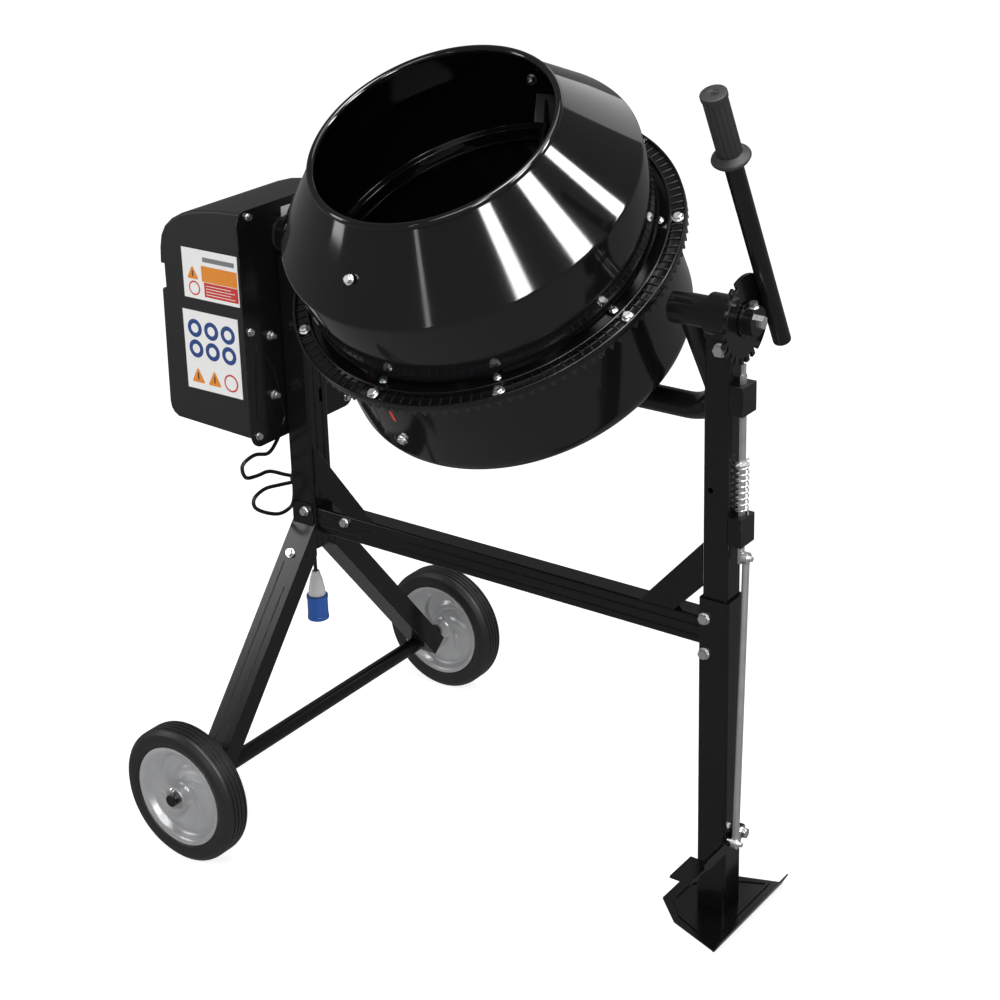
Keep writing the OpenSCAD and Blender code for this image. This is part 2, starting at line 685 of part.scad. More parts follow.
module yoke_tube(d) {
  straight = yoke_x - yoke_bend;
  for (s = [-1, 1]) mirror([s > 0 ? 0 : 1, 0, 0]) {
    translate([yoke_x, 0, -yoke_drop + yoke_bend]) cylinder(d = d, h = yoke_drop - yoke_bend);
    translate([straight, 0, -yoke_drop + yoke_bend]) rotate([90, 0, 0]) mirror([0, 1, 0])
      rotate_extrude(angle = 90) translate([yoke_bend, 0]) circle(d = d);
  }
  translate([0, 0, -yoke_drop]) rod_x(d, -straight, straight);
}

module yoke_frame() steel() at_drum() difference() {
  union() {
    yoke_tube(yoke_d);
    rod_x(tilt_tube_d, left_x - mid_x - bearing_w / 2, -tilt_tube_x);
    rod_x(tilt_tube_d, tilt_tube_x, disc_x - mid_x);
    translate([0, 0, -yoke_drop]) cylinder(d = 64, h = yoke_d / 2 + 4);
  }
  rod_x(tube_in, left_x - mid_x - bearing_w, -tilt_tube_x + cut);
  rod_x(tube_in, tilt_tube_x - cut, disc_x - mid_x + cut);
  intersection() {
    yoke_tube(yoke_d - 2 * yoke_wall);
    translate([-500, -50, -400]) cube([1000, 100, 400 - tilt_tube_d / 2]);
  }
  translate([0, 0, -yoke_drop - 40]) cylinder(d = spindle_d + 0.1, h = 90);
}

module index_disc() steel() translate([disc_x, 0, tilt_h]) rotate([0, 90, 0]) difference() {
  union() {
    linear_extrude(disc_t) difference() {
      circle(d = disc_d);
      for (k = [-2:10]) rotate([0, 0, -k * notch_pitch])
        translate([disc_d / 2 - notch_depth, -notch_w / 2]) square([notch_depth + 5, notch_w]);
    }
    cylinder(d = collar_d, h = disc_t + collar_l);
    translate([0, 0, disc_t + 1]) cylinder(d = collar_d + 8, h = 3);
  }
  translate([0, 0, -cut]) cylinder(d = 16.1, h = disc_t + collar_l + 2 * cut);
}

module lever_place() translate([lever_x, 0, tilt_h]) rotate([lever_lean, 0, 0])
  translate([0, lever_back, 0]) children();

module tilt_lever() steel() {
  lever_place() translate([0, 0, -lever_foot]) difference() {
    cylinder(d = lever_d, h = lever_l - 3);
    translate([0, 0, -cut]) cylinder(d = lever_d - 5, h = lever_l - 3 + 2 * cut);
  }
}

module lever_grip() color("#3a3a3c") lever_place() translate([0, 0, lever_l - lever_foot - grip_l]) difference() {
  union() {
    cylinder(d = 36, h = grip_l);
    rotate_extrude() polygon([[10, -2], [27, -1], [28.5, 3], [27, 7], [19, 12], [10, 12]]);
    translate([0, 0, grip_l - 2]) cylinder(d = 38, h = 5);
  }
  translate([0, 0, -10]) cylinder(d = lever_d + 0.1, h = grip_l + 7.1);
}

module lever_bolt() zinc() at_tilt() {
  face = disc_x + disc_t + collar_l;
  rod_x(16, disc_x - 6, face + 5);
  rod_x(30, disc_x - 6, disc_x);
  translate([face, 0, 0]) rotate([0, 90, 0]) cylinder(d = 20, h = 9, $fn = 6);
  translate([face - 5, 0, 0]) rotate([12, 0, 0]) translate([0, 0, collar_d / 2]) bolt_head(13, 7);
}

module drum_spindle() zinc() at_drum() {
  translate([0, 0, -yoke_drop - yoke_d / 2 - 14]) cylinder(d = spindle_d, h = spindle_top + yoke_drop + yoke_d / 2 + 14 + 6);
  translate([0, 0, yoke_top + 4]) difference() {
    cylinder(d = 44, h = 6);
    translate([0, 0, -cut]) cylinder(d = spindle_d - 1, h = 9);
  }
  translate([0, 0, -yoke_drop - yoke_d / 2 - 10]) cylinder(d = 46, h = 10, $fn = 6);
}

module pinion_bearings() zinc() at_tilt() for (x = [mid_x - tilt_tube_x - 16, left_x - 14])
  translate([x, 0, 0]) difference() {
    rod_x(tube_in - 0.04, 0, 12);
    rod_x(shaft_d + 2 * run_fit, -cut, 13);
  }

// ---------- drum ----------

module drum_bowl() steel() at_drum() difference() {
  rotate_extrude() {
    c = bowl_corner;
    inner = c - drum_t;
    cx = bowl_r - c;
    cz = -bowl_d + c;
    polygon(concat([[bowl_r, ring_base]], [for (a = [0:-10:-90]) [cx + c * cos(a), cz + c * sin(a)]],
      [[hub_r - 12, -bowl_d + 5], [hub_r - 12, -bowl_d + 5 + drum_t]],
      [for (a = [-90:10:0]) [cx + inner * cos(a), cz + inner * sin(a)]], [[bowl_r - drum_t, ring_base]]));
  }
  round_ring(2, blade_foot_r, blade_turn) translate([0, 0, -bowl_d - cut]) cylinder(d = bolt_d + 0.4, h = 10);
}

module drum_cone() steel() at_drum() rotate_extrude() {
  t = drum_t;
  polygon([[neck_r, ring_top], [neck_r, band_d], [band_r, band_d], [fold_r - 1, fold_d - 8],
    [fold_r, fold_d], [fold_r - 4, fold_d + 7], [mouth_r - bead_r, mouth_d - bead_r],
    [mouth_r - bead_r - t, mouth_d - bead_r], [fold_r - 4 - 1.5 * t, fold_d + 6],
    [fold_r - t, fold_d], [band_r - t, band_d + t], [neck_r - t, band_d + t], [neck_r - t, ring_top]]);
  translate([mouth_r - bead_r, mouth_d - bead_r]) circle(bead_r);
}

// One ring tooth: a rack tooth that hangs under the web
module ring_tooth() {
  half = PI * gear_m / 4 - backlash / 2;
  slope = tan(20);
  top = ring_base + 0.5 - pinion_r;
  low = -0.7 * gear_m;
  rotate([90, 0, 90]) linear_extrude(tooth_w) polygon([[-half - slope * top, top], [-half - slope * low, low],
    [half + slope * low, low], [half + slope * top, top]]);
}

module ring_gear() color("#2a2a2c") at_drum() {
  difference() {
    rotate_extrude() polygon([[ring_in, ring_base], [ring_out, ring_base], [ring_out, ring_top + 8],
      [ring_out - 4, ring_top + 8], [ring_out - 4, ring_top], [lip_r + 4, ring_top], [lip_r + 4, ring_top + lip_h],
      [lip_r, ring_top + lip_h], [lip_r, ring_top], [ring_in, ring_top]]);
    round_ring(ring_bolt_n, small_bolt_r, -15) translate([0, 0, ring_base - cut]) cylinder(d = 6.2, h = 10);
  }
  for (i = [0:ring_teeth - 1]) rotate([0, 0, (i + 0.5) * 360 / ring_teeth])
    translate([ring_r - tooth_w / 2, 0, pinion_r]) ring_tooth();
}

module ring_bolts() zinc() at_drum() {
  round_ring(ring_bolt_n, ring_r - 1, -15) translate([0, 0, ring_top]) bolt_head(14, 6);
  round_ring(ring_bolt_n, small_bolt_r, -15) {
    translate([0, 0, ring_top]) bolt_head(10, 4);
    translate([0, 0, ring_base - 3]) cylinder(d = 6, h = ring_web + 4);
  }
}

// A mixing blade: a foot bolted to the bowl's floor and a sheet that leans as it climbs to the cone
module mixing_blade() {
  foot_z = -bowl_d + drum_t + 5;
  translate([140, -20, foot_z]) cube([80, 40, blade_t]);
  translate([0, 0, foot_z + blade_t - 1]) rotate([blade_lean, 0, 0]) {
    rotate([90, 0, 0]) translate([0, 0, -blade_t / 2]) linear_extrude(blade_t)
      polygon([[122, 0], [230, 0], [250, 40], [250, 150], [240, 240], [212, 305], [160, 305], [176, 240],
        [176, 120], [142, 50]]);
    translate([206, 0, 290]) rotate([0, -46, 0]) translate([-20, -15, 0]) cube([44, 30, blade_t]);
  }
}

module mixing_blades() color("#4a4a4c") at_drum() round_ring(2, 0, blade_turn) mixing_blade();

module blade_bolts() zinc() at_drum() round_ring(2, blade_foot_r, blade_turn) {
  translate([0, 0, -bowl_d]) rotate([180, 0, 0]) bolt_head(small_head_d);
  translate([0, 0, -bowl_d - 2]) cylinder(d = bolt_d, h = 8);
}

module drum_hub() color("#55565a") at_drum() difference() {
  union() {
    translate([0, 0, yoke_top + 14]) cylinder(r = 34, h = -bowl_d - yoke_top - 14 + 8);
    translate([0, 0, -bowl_d + 5 + drum_t]) cylinder(r = hub_r, h = 6);
    translate([0, 0, -bowl_d + 10]) cylinder(r = 34, h = 34);
  }
  translate([0, 0, yoke_top + 13]) cylinder(d = hub_bore, h = 168 + yoke_top + bowl_d);
}

module hub_bearings() zinc() at_drum() for (z = [yoke_top + 16, -bowl_d + 18]) translate([0, 0, z]) difference() {
  cylinder(d = hub_bore, h = 13);
  translate([0, 0, -cut]) cylinder(d = spindle_d + 2 * run_fit, h = 15);
}

// ---------- drive train ----------

function involute(rb, t) = rb * [cos(t) + t * PI / 180 * sin(t), sin(t) - t * PI / 180 * cos(t)];
function turned(p, a) = [p[0] * cos(a) - p[1] * sin(a), p[0] * sin(a) + p[1] * cos(a)];

// Outline of the pinion, with one tooth on its +x side
module pinion_outline() {
  rb = pinion_r * cos(20);
  ro = pinion_r + 4.2;
  rf = pinion_r - 5;
  inv_pitch = (tan(20) - 20 * PI / 180) * 180 / PI;
  half = 90 / pinion_teeth - backlash / 4 / pinion_r * 180 / PI + inv_pitch;
  tmax = sqrt(pow(ro / rb, 2) - 1) * 180 / PI;
  flank = [for (i = [0:5]) turned(involute(rb, tmax * i / 5), -half)];
  tooth = concat([turned([rf, 0], -half)], flank,
    [for (i = [5:-1:0]) [flank[i][0], -flank[i][1]]], [turned([rf, 0], half)]);
  polygon([for (k = [0:pinion_teeth - 1], p = tooth) turned(p, k * 360 / pinion_teeth)]);
}

module pinion_gear() zinc() at_drum() difference() {
  translate([-ring_r - tooth_w / 2 + 1, 0, 0]) rotate([0, 90, 0]) rotate([0, 0, 180])
    linear_extrude(tooth_w - 1) pinion_outline();
  rod_x(shaft_d + 0.1, -ring_r - tooth_w, -ring_r + tooth_w);
}

module pinion_shaft() zinc() at_tilt() rod_x(shaft_d, belt_x - 14, mid_x - ring_r + tooth_w / 2 + 1);

// A V-belt pulley with its web, centred on x = 0
module pulley(r, w, bore) rotate([0, 90, 0]) rotate_extrude() polygon([[bore / 2, -w / 2], [r + 4, -w / 2],
  [r + 4, -w / 2 + 2], [r - 0.2, -4.3], [r - 0.2, 4.3], [r + 4, w / 2 - 2], [r + 4, w / 2], [bore / 2, w / 2]]);

module driven_pulley() color("#6a6c70") at_tilt() translate([belt_x, 0, 0]) pulley(pulley_r, pulley_w, shaft_d + 0.1);

module motor_axis() translate([0, 0, tilt_h - motor_drop]) children();

module motor_shaft() zinc() motor_axis() rod_x(motor_shaft_d, belt_x - motor_behind - motor_l - 22, belt_x + 12);

module motor_pulley() zinc() motor_axis() translate([belt_x, 0, 0]) pulley(motor_pulley_r, pulley_w, motor_shaft_d + 0.1);

module motor_fan() color("#2b2b2d") motor_axis() translate([belt_x - motor_behind - motor_l - 18, 0, 0]) difference() {
  union() {
    rod_x(28, 0, 14);
    for (a = [0:45:315]) rotate([a, 0, 0]) translate([0, -1, 10]) cube([12, 2, 38]);
  }
  rod_x(motor_shaft_d + 0.1, -cut, 15);
}

// ---------- wheels ----------

module tyre(y) color("#1b1b1b") translate([left_x, y, wheel_r]) rotate([-90, 0, 0]) rotate_extrude() difference() {
  h = tyre_w / 2;
  polygon([[rim_r, -h + 8], [rim_r + 4, -h + 2], [rim_r + 12, -h], [wheel_r - 8, -h + 1], [wheel_r - 2, -h + 6],
    [wheel_r, 0], [wheel_r - 2, h - 6], [wheel_r - 8, h - 1], [rim_r + 12, h], [rim_r + 4, h - 2], [rim_r, h - 8]]);
  for (s = [-12, -4, 4, 12]) translate([wheel_r, s]) square([6, 2.4], center = true);
}

module rim(y) color("#77797c") translate([left_x, y, wheel_r]) rotate([-90, 0, 0]) rotate_extrude() {
  h = tyre_w / 2;
  polygon([[axle_pin_d / 2 + run_fit, -h - 1], [17, -h - 1], [17, -5], [60, -12], [72, -12], [76, -h + 6],
    [rim_r + 1, -h + 3], [rim_r, -h + 8], [rim_r, h - 8], [rim_r + 1, h - 3], [76, h - 6], [72, 12], [60, 12],
    [17, 5], [17, h + 1], [axle_pin_d / 2 + run_fit, h + 1]]);
}

module front_tyre() tyre(-wheel_y);
module rear_tyre() tyre(wheel_y);
module front_rim() rim(-wheel_y);
module rear_rim() rim(wheel_y);

right_post();
right_leg();
foot_plate();
left_post();
cross_beam();
left_brace();
right_brace();
front_wheel_leg();
rear_wheel_leg();
axle();
wheel_retainers();
frame_bolts();
left_bearing();
right_bearing();
motor_plate();
motor_cover();
cover_screws();
motor_housing();
motor_capacitor();
switch_box();
drive_belt();
cable_gland();
cable_clip();
latch_guides();
label_panels();
pedal_pivot();
latch_spring();
power_cord();
plug_body();
plug_shroud();
yoke_frame();
index_disc();
tilt_lever();
lever_grip();
lever_bolt();
drum_spindle();
pinion_bearings();
drum_bowl();
drum_cone();
ring_gear();
ring_bolts();
mixing_blades();
blade_bolts();
drum_hub();
hub_bearings();
pinion_gear();
pinion_shaft();
driven_pulley();
motor_shaft();
motor_pulley();
motor_fan();
front_tyre();
front_rim();
rear_tyre();
rear_rim();
latch_bar();
pull_rod();
foot_pedal();
start_button();
stop_button();
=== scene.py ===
import math

import bmesh
import bpy
from mathutils import Matrix, Vector


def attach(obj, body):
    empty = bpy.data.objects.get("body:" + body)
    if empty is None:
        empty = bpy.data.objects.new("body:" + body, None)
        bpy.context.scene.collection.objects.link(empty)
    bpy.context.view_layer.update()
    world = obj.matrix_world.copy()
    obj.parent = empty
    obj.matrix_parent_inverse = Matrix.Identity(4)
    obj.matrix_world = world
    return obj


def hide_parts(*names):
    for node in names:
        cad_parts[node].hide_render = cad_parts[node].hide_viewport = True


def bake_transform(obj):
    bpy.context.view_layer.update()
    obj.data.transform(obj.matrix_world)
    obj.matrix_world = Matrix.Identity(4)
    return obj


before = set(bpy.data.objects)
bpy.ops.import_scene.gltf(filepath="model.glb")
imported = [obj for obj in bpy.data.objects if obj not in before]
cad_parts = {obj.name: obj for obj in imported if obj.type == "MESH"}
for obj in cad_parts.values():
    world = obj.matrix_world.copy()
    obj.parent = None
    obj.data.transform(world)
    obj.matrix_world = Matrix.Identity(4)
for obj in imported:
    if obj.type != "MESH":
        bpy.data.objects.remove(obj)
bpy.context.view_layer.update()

MM = 0.001
TILT_H = 980
MID_X = -400
POST_X = -800
DRUM_LEAN = math.radians(30)
DRUM = Matrix.Translation((MID_X * MM, 0, TILT_H * MM)) @ Matrix.Rotation(DRUM_LEAN, 4, "X")

# ---------- camera ----------

camera = bpy.data.objects.new("camera", bpy.data.cameras.new("camera"))
bpy.context.scene.collection.objects.link(camera)
YAW, PITCH, ROLL = 0.6319, 0.3394, -0.0279
back = Vector((math.sin(YAW) * math.cos(PITCH), -math.cos(YAW) * math.cos(PITCH), math.sin(PITCH)))
across = Vector((math.cos(YAW), math.sin(YAW), 0))
above = back.cross(across)
right = math.cos(ROLL) * across + math.sin(ROLL) * above
upward = math.cos(ROLL) * above - math.sin(ROLL) * across
camera.matrix_world = Matrix((
    (right.x, upward.x, back.x, 1.35579),
    (right.y, upward.y, back.y, -2.39128),
    (right.z, upward.z, back.z, 1.90143),
    (0, 0, 0, 1)))
camera.data.sensor_width = 36
camera.data.lens = 73.362
camera.data.shift_y = -0.15
camera.data.clip_end = 200
bpy.context.scene.camera = camera


# ---------- shader maths ----------

class Value:
    """A socket of a material's tree; arithmetic on it adds Math nodes."""

    def __init__(self, tree, socket):
        self.tree = tree
        self.socket = socket

    def calculate(self, operation, other, swapped=False):
        node = self.tree.nodes.new("ShaderNodeMath")
        node.operation = operation
        pair = (other, self) if swapped else (self, other)
        for slot, item in zip(node.inputs, pair):
            if isinstance(item, Value):
                self.tree.links.new(item.socket, slot)
            else:
                slot.default_value = item
        return Value(self.tree, node.outputs[0])

    def __add__(self, other):
        return self.calculate("ADD", other)

    def __radd__(self, other):
        return self.calculate("ADD", other, True)

    def __mul__(self, other):
        return self.calculate("MULTIPLY", other)

    def __rmul__(self, other):
        return self.calculate("MULTIPLY", other, True)


NOISE_ROUGHNESS = 0.55


class Finish:
    """A procedural surface on the Principled shader."""

    def __init__(self, name, roughness=0.5, metallic=0.0, specular=0.5, coat=0.0):
        self.material = bpy.data.materials.new(name)
        self.material.use_nodes = True
        self.tree = self.material.node_tree
        self.shader = self.tree.nodes["Principled BSDF"]
        self.shader.inputs["Roughness"].default_value = roughness
        self.shader.inputs["Metallic"].default_value = metallic
        self.shader.inputs["Specular IOR Level"].default_value = specular
        self.shader.inputs["Coat Weight"].default_value = coat
        self.place = self.node("ShaderNodeTexCoord", out="Object")

    def node(self, kind, settings=None, inputs=None, out=0):
        made = self.tree.nodes.new(kind)
        for key, value in (settings or {}).items():
            if key == "stops":
                for index, (where, shade) in enumerate(value):
                    ramp = made.color_ramp.elements
                    stop = ramp[index] if index < 2 else ramp.new(where)
                    stop.position = where
                    stop.color = (shade, shade, shade, 1)
            else:
                setattr(made, key, value)
        for key, value in (inputs or {}).items():
            if isinstance(value, Value):
                self.tree.links.new(value.socket, made.inputs[key])
            else:
                made.inputs[key].default_value = value
        return Value(self.tree, made.outputs[out])

    def grain(self, scale, detail=4.0, stretch=None, twist=0.0):
        """Noise from 0 to 1 on the piece; stretch scales its three directions."""
        place = self.place
        if stretch:
            place = self.node("ShaderNodeMapping", None, {"Vector": place, "Scale": stretch})
        return self.node("ShaderNodeTexNoise", None, {
            "Vector": place, "Scale": scale, "Detail": detail, "Roughness": NOISE_ROUGHNESS,
            "Distortion": twist})

    def steps(self, value, *stops):
        return self.node("ShaderNodeValToRGB", {"stops": stops}, {"Fac": value})

    def colour(self, first, second, share):
        """The base colour, from first to second by share."""
        mixed = self.node("ShaderNodeMix", {"data_type": "RGBA"}, None, 2)
        made = mixed.socket.node
        self.tree.links.new(share.socket, made.inputs["Factor"])
        for slot, shade in ((6, first), (7, second)):
            if isinstance(shade, Value):
                self.tree.links.new(shade.socket, made.inputs[slot])
            else:
                made.inputs[slot].default_value = (*shade, 1)
        return mixed

    def use(self, name, value):
        self.tree.links.new(value.socket, self.shader.inputs[name])

    def bump(self, height, strength, distance):
        self.use("Normal", self.node("ShaderNodeBump", None, {
            "Height": height, "Strength": strength, "Distance": distance}))

    def worn_and_highlit(self):
        """1 on softened edges, broken up; 0 elsewhere. Marks where the enamel is painted paler, partly as
        rubbed wear and partly as a painted edge highlight.
        """
        edge = self.node("ShaderNodeAttribute", {"attribute_name": "edge_wear_and_highlight"}, None, "Fac")
        return edge * self.steps(self.grain(55, 5), (0.52, 0), (0.66, 1))


def sprayed(name, dark, light, rough, specular=0.5, coat=0.0, peel=0.05):
    """Sprayed enamel: orange peel, a few dull patches, and edges painted paler, partly as rubbed wear and
    partly as a painted edge highlight.
    """
    made = Finish(name, rough, 0, specular, coat)
    clouds = made.grain(6, 5)
    dust = made.steps(made.grain(420, 2), (0.72, 0), (0.8, 1))
    base = made.colour(dark, light, clouds)
    # Softened edges painted paler grey, partly as rubbed wear and partly as a painted highlight along the
    # edges; dust specks add a little paler grey.
    base = made.colour(base, tuple(0.08 + 2 * c for c in light), made.worn_and_highlit() * 0.55 + dust * 0.06)
    made.use("Base Color", base)
    dull = made.steps(made.grain(2.3, 3), (0.35, 0), (0.75, 1))
    made.use("Roughness", rough + dull * 0.07 + made.grain(90, 3) * 0.03 + dust * 0.15)
    made.bump(made.grain(380, 2), peel, 0.0002)
    return made.material


def plated(name, dark, light, rough, brushed=None):
    """Bright plated or machined steel with cloudy film and fine lines."""
    made = Finish(name, rough, 1.0)
    film = made.grain(45, 4)
    made.use("Base Color", made.colour(dark, light, film))
    lines = made.grain(700, 2, stretch=brushed or (1, 1, 1))
    made.use("Roughness", rough + film * 0.12 + lines * 0.08)
    made.bump(lines, 0.08, 0.0002)
    return made.material


def moulded(name, dark, light, rough, fine=900, depth=0.12, specular=0.5):
    """Moulded plastic or rubber with an even fine texture."""
    made = Finish(name, rough, 0, specular)
    patches = made.grain(9, 4)
    specks = made.grain(fine, 2)
    made.use("Base Color", made.colour(dark, light, patches * 0.7 + specks * 0.3))
    made.use("Roughness", rough + patches * 0.1)
    made.bump(specks, depth, 0.0003)
    return made.material


BLACK = (0.0045, 0.0045, 0.005)
SOFT_BLACK = (0.009, 0.009, 0.010)
FINISH = {
    "drum_paint": sprayed("drum_paint", BLACK, SOFT_BLACK, 0.04, 0.55, 0.0, 0.03),
    "frame_paint": sprayed("frame_paint", (0.005, 0.005, 0.0055), (0.01, 0.01, 0.011), 0.13, 0.36, 0.0, 0.05),
    "gear_paint": sprayed("gear_paint", (0.008, 0.008, 0.009), (0.02, 0.02, 0.021), 0.3, 0.5, 0.0, 0.25),
    "blade_paint": sprayed("blade_paint", (0.006, 0.006, 0.006), (0.012, 0.012, 0.012), 0.35),
    "zinc": plated("zinc", (0.76, 0.76, 0.77), (0.93, 0.93, 0.94), 0.2),
    "rod_steel": plated("rod_steel", (0.72, 0.72, 0.72), (0.92, 0.92, 0.92), 0.3, (1, 1, 0.06)),
    "spring_wire": plated("spring_wire", (0.8, 0.8, 0.81), (0.95, 0.95, 0.95), 0.18),
    "gear_steel": plated("gear_steel", (0.32, 0.32, 0.33), (0.5, 0.5, 0.5), 0.3, (0.1, 1, 1)),
    "motor_alu": plated("motor_alu", (0.42, 0.43, 0.44), (0.55, 0.56, 0.57), 0.42),
    "cover_plastic": moulded("cover_plastic", (0.013, 0.0135, 0.0145), (0.019, 0.0195, 0.021), 0.42, 1300,
                             0.25),
    "tyre_rubber": moulded("tyre_rubber", (0.012, 0.012, 0.013), (0.021, 0.021, 0.022), 0.36, 700, 0.12),
    "grip_rubber": moulded("grip_rubber", (0.013, 0.013, 0.014), (0.024, 0.024, 0.025), 0.5, 1500, 0.3),
    "cable_sheath": moulded("cable_sheath", (0.008, 0.008, 0.008), (0.014, 0.014, 0.014), 0.35, 900, 0.05),
    "belt_rubber": moulded("belt_rubber", (0.012, 0.012, 0.012), (0.022, 0.022, 0.022), 0.7),
    "plug_white": moulded("plug_white", (0.72, 0.73, 0.76), (0.8, 0.8, 0.82), 0.32, 500, 0.03),
    "plug_blue": moulded("plug_blue", (0.008, 0.10, 0.47), (0.012, 0.13, 0.55), 0.3, 500, 0.04),
    "switch_black": moulded("switch_black", (0.012, 0.012, 0.013), (0.02, 0.02, 0.021), 0.4),
    "button_green": moulded("button_green", (0.01, 0.27, 0.05), (0.015, 0.33, 0.07), 0.3),
    "button_red": moulded("button_red", (0.5, 0.012, 0.012), (0.6, 0.02, 0.02), 0.3),
    "panel_white": moulded("panel_white", (0.93, 0.93, 0.92), (0.97, 0.97, 0.96), 0.3, 300, 0.02),
    "panel_grey": moulded("panel_grey", (0.2, 0.2, 0.21), (0.26, 0.26, 0.27), 0.3, 300, 0.02),
    "panel_blue": moulded("panel_blue", (0.016, 0.06, 0.25), (0.02, 0.075, 0.3), 0.3, 300, 0.02),
    "panel_orange": moulded("panel_orange", (0.83, 0.26, 0.015), (0.9, 0.32, 0.02), 0.3, 300, 0.02),
    "panel_red": moulded("panel_red", (0.62, 0.03, 0.02), (0.7, 0.045, 0.03), 0.3, 300, 0.02),
    "mark_red": moulded("mark_red", (0.5, 0.03, 0.015), (0.65, 0.05, 0.02), 0.5, 300, 0.05),
}


def rim_finish():
    """Satin grey wheel paint, paler and darker in soft random clouds."""
    made = Finish("rim_paint", 0.26, 0.45, 0.5, 0.2)
    clouds = made.grain(18, 5, twist=0.6)
    made.use("Base Color", made.colour((0.46, 0.465, 0.475), (0.64, 0.645, 0.655), clouds))
    made.use("Roughness", 0.27 + clouds * 0.1 + made.grain(240, 2) * 0.04)
    made.bump(made.grain(500, 2), 0.06, 0.0002)
    return made.material


FINISH["rim_paint"] = rim_finish()


# ---------- mesh helpers ----------

def add(name, bm, finish, place=None, angle=32.0):
    """A finished mesh object at the origin, smooth except over edges sharper than angle."""
    if place is not None:
        bmesh.ops.transform(bm, matrix=place, verts=bm.verts)
    limit = math.radians(angle)
    for face in bm.faces:
        face.smooth = True
    for edge in bm.edges:
        edge.smooth = len(edge.link_faces) != 2 or edge.calc_face_angle(0) < limit
    mesh = bpy.data.meshes.new(name)
    bm.to_mesh(mesh)
    bm.free()
    made = bpy.data.objects.new(name, mesh)
    bpy.context.scene.collection.objects.link(made)
    made.data.materials.append(FINISH[finish])
    return made


def even_normals(piece):
    """Flat faces keep flat shading beside their softened edges."""
    weight = piece.modifiers.new("even_normals", "WEIGHTED_NORMAL")
    weight.keep_sharp = True
    return piece


def settle(piece, body, slot, *nodes):
    """The piece moves with the body and stands for the nodes, which are hidden; slot is not used."""
    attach(piece, body)
    if nodes:
        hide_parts(*nodes)
    return piece


def rounded(corners, steps=6):
    """Closed outline through (x, y, radius) corners, each turned into an arc."""
    points = []
    count = len(corners)
    for index, (x, y, radius) in enumerate(corners):
        here = Vector((x, y))
        before = Vector(corners[index - 1][:2]) - here
        after = Vector(corners[(index + 1) % count][:2]) - here
        if radius <= 0:
            points.append((x, y))
            continue
        before_dir, after_dir = before.normalized(), after.normalized()
        half = before_dir.angle(after_dir) / 2
        reach = min(radius / math.tan(half), 0.49 * before.length, 0.49 * after.length)
        radius = reach * math.tan(half)
        centre = here + (before_dir + after_dir).normalized() * (radius / math.sin(half))
        start = here + before_dir * reach - centre
        turn = math.pi - 2 * half
        if before_dir.x * after_dir.y - before_dir.y * after_dir.x > 0:
            turn = -turn
        for k in range(steps + 1):
            a = turn * k / steps
            points.append((centre.x + start.x * math.cos(a) - start.y * math.sin(a),
                           centre.y + start.x * math.sin(a) + start.y * math.cos(a)))
    return points


def turned(profile, steps=144, relief=None):
    """A bmesh turned round Z from (radius, height) points in mm; relief(r, z, angle) moves a point."""
    bm = bmesh.new()
    rings = []
    for r, z in profile:
        if r < 1e-6:
            rings.append([bm.verts.new((0, 0, z * MM))])
            continue
        ring = []
        for k in range(steps):
            a = 2 * math.pi * k / steps
            rr, zz = relief(r, z, a) if relief else (r, z)
            ring.append(bm.verts.new((rr * MM * math.cos(a), rr * MM * math.sin(a), zz * MM)))
        rings.append(ring)
    closed = profile[0][0] > 1e-6 and profile[-1][0] > 1e-6
    for lower, upper in zip(rings, rings[1:] + (rings[:1] if closed else [])):
        for k in range(steps):
            n = (k + 1) % steps
            corners = (lower[k % len(lower)], lower[n % len(lower)],
                       upper[n % len(upper)], upper[k % len(upper)])
            bm.faces.new(list(dict.fromkeys(corners)))
    bmesh.ops.recalc_face_normals(bm, faces=bm.faces)
    return bm


def block(bm, low, high, soften):
    """A box between two corners in mm, added to bm, with softened edges."""
    made = bmesh.ops.create_cube(bm, size=1.0)["verts"]
    low, high = Vector(low) * MM, Vector(high) * MM
    for vert in made:
        vert.co = Vector((vert.co[i] + 0.5) * (high[i] - low[i]) + low[i] for i in range(3))
    edges = list({edge for vert in made for edge in vert.link_edges})
    bmesh.ops.bevel(bm, geom=edges, offset=soften * MM, segments=2, profile=0.5, affect="EDGES")


def tube(points, radius, sides=12):
    """A bmesh tube along points in mm, closed at both ends."""
    points = [Vector(p) * MM for p in points]
    bm = bmesh.new()
    rings, side = [], None
    for index, point in enumerate(points):
        along = (points[min(index + 1, len(points) - 1)] - points[max(index - 1, 0)]).normalized()
        if side is None:
            side = along.orthogonal()
        side = (side - along * side.dot(along)).normalized()
        other = along.cross(side)
        rings.append([bm.verts.new(point + radius * MM * (
            math.cos(2 * math.pi * k / sides) * side + math.sin(2 * math.pi * k / sides) * other))
            for k in range(sides)])
    for one, two in zip(rings, rings[1:]):
        for k in range(sides):
            n = (k + 1) % sides
            bm.faces.new((one[k], one[n], two[n], two[k]))
    bm.faces.new(rings[0][::-1])
    bm.faces.new(rings[-1])
    bmesh.ops.recalc_face_normals(bm, faces=bm.faces)
    return bm


def joined(*parts):
    """One bmesh from several, each with an optional place: (bmesh, matrix) or bmesh."""
    whole = bmesh.new()
    for part in parts:
        piece, place = part if isinstance(part, tuple) else (part, None)
        if place is not None:
            bmesh.ops.transform(piece, matrix=place, verts=piece.verts)
        mesh = bpy.data.meshes.new("part")
        piece.to_mesh(mesh)
        piece.free()
        whole.from_mesh(mesh)
        bpy.data.meshes.remove(mesh)
    return whole


WASHER_T = 1.5


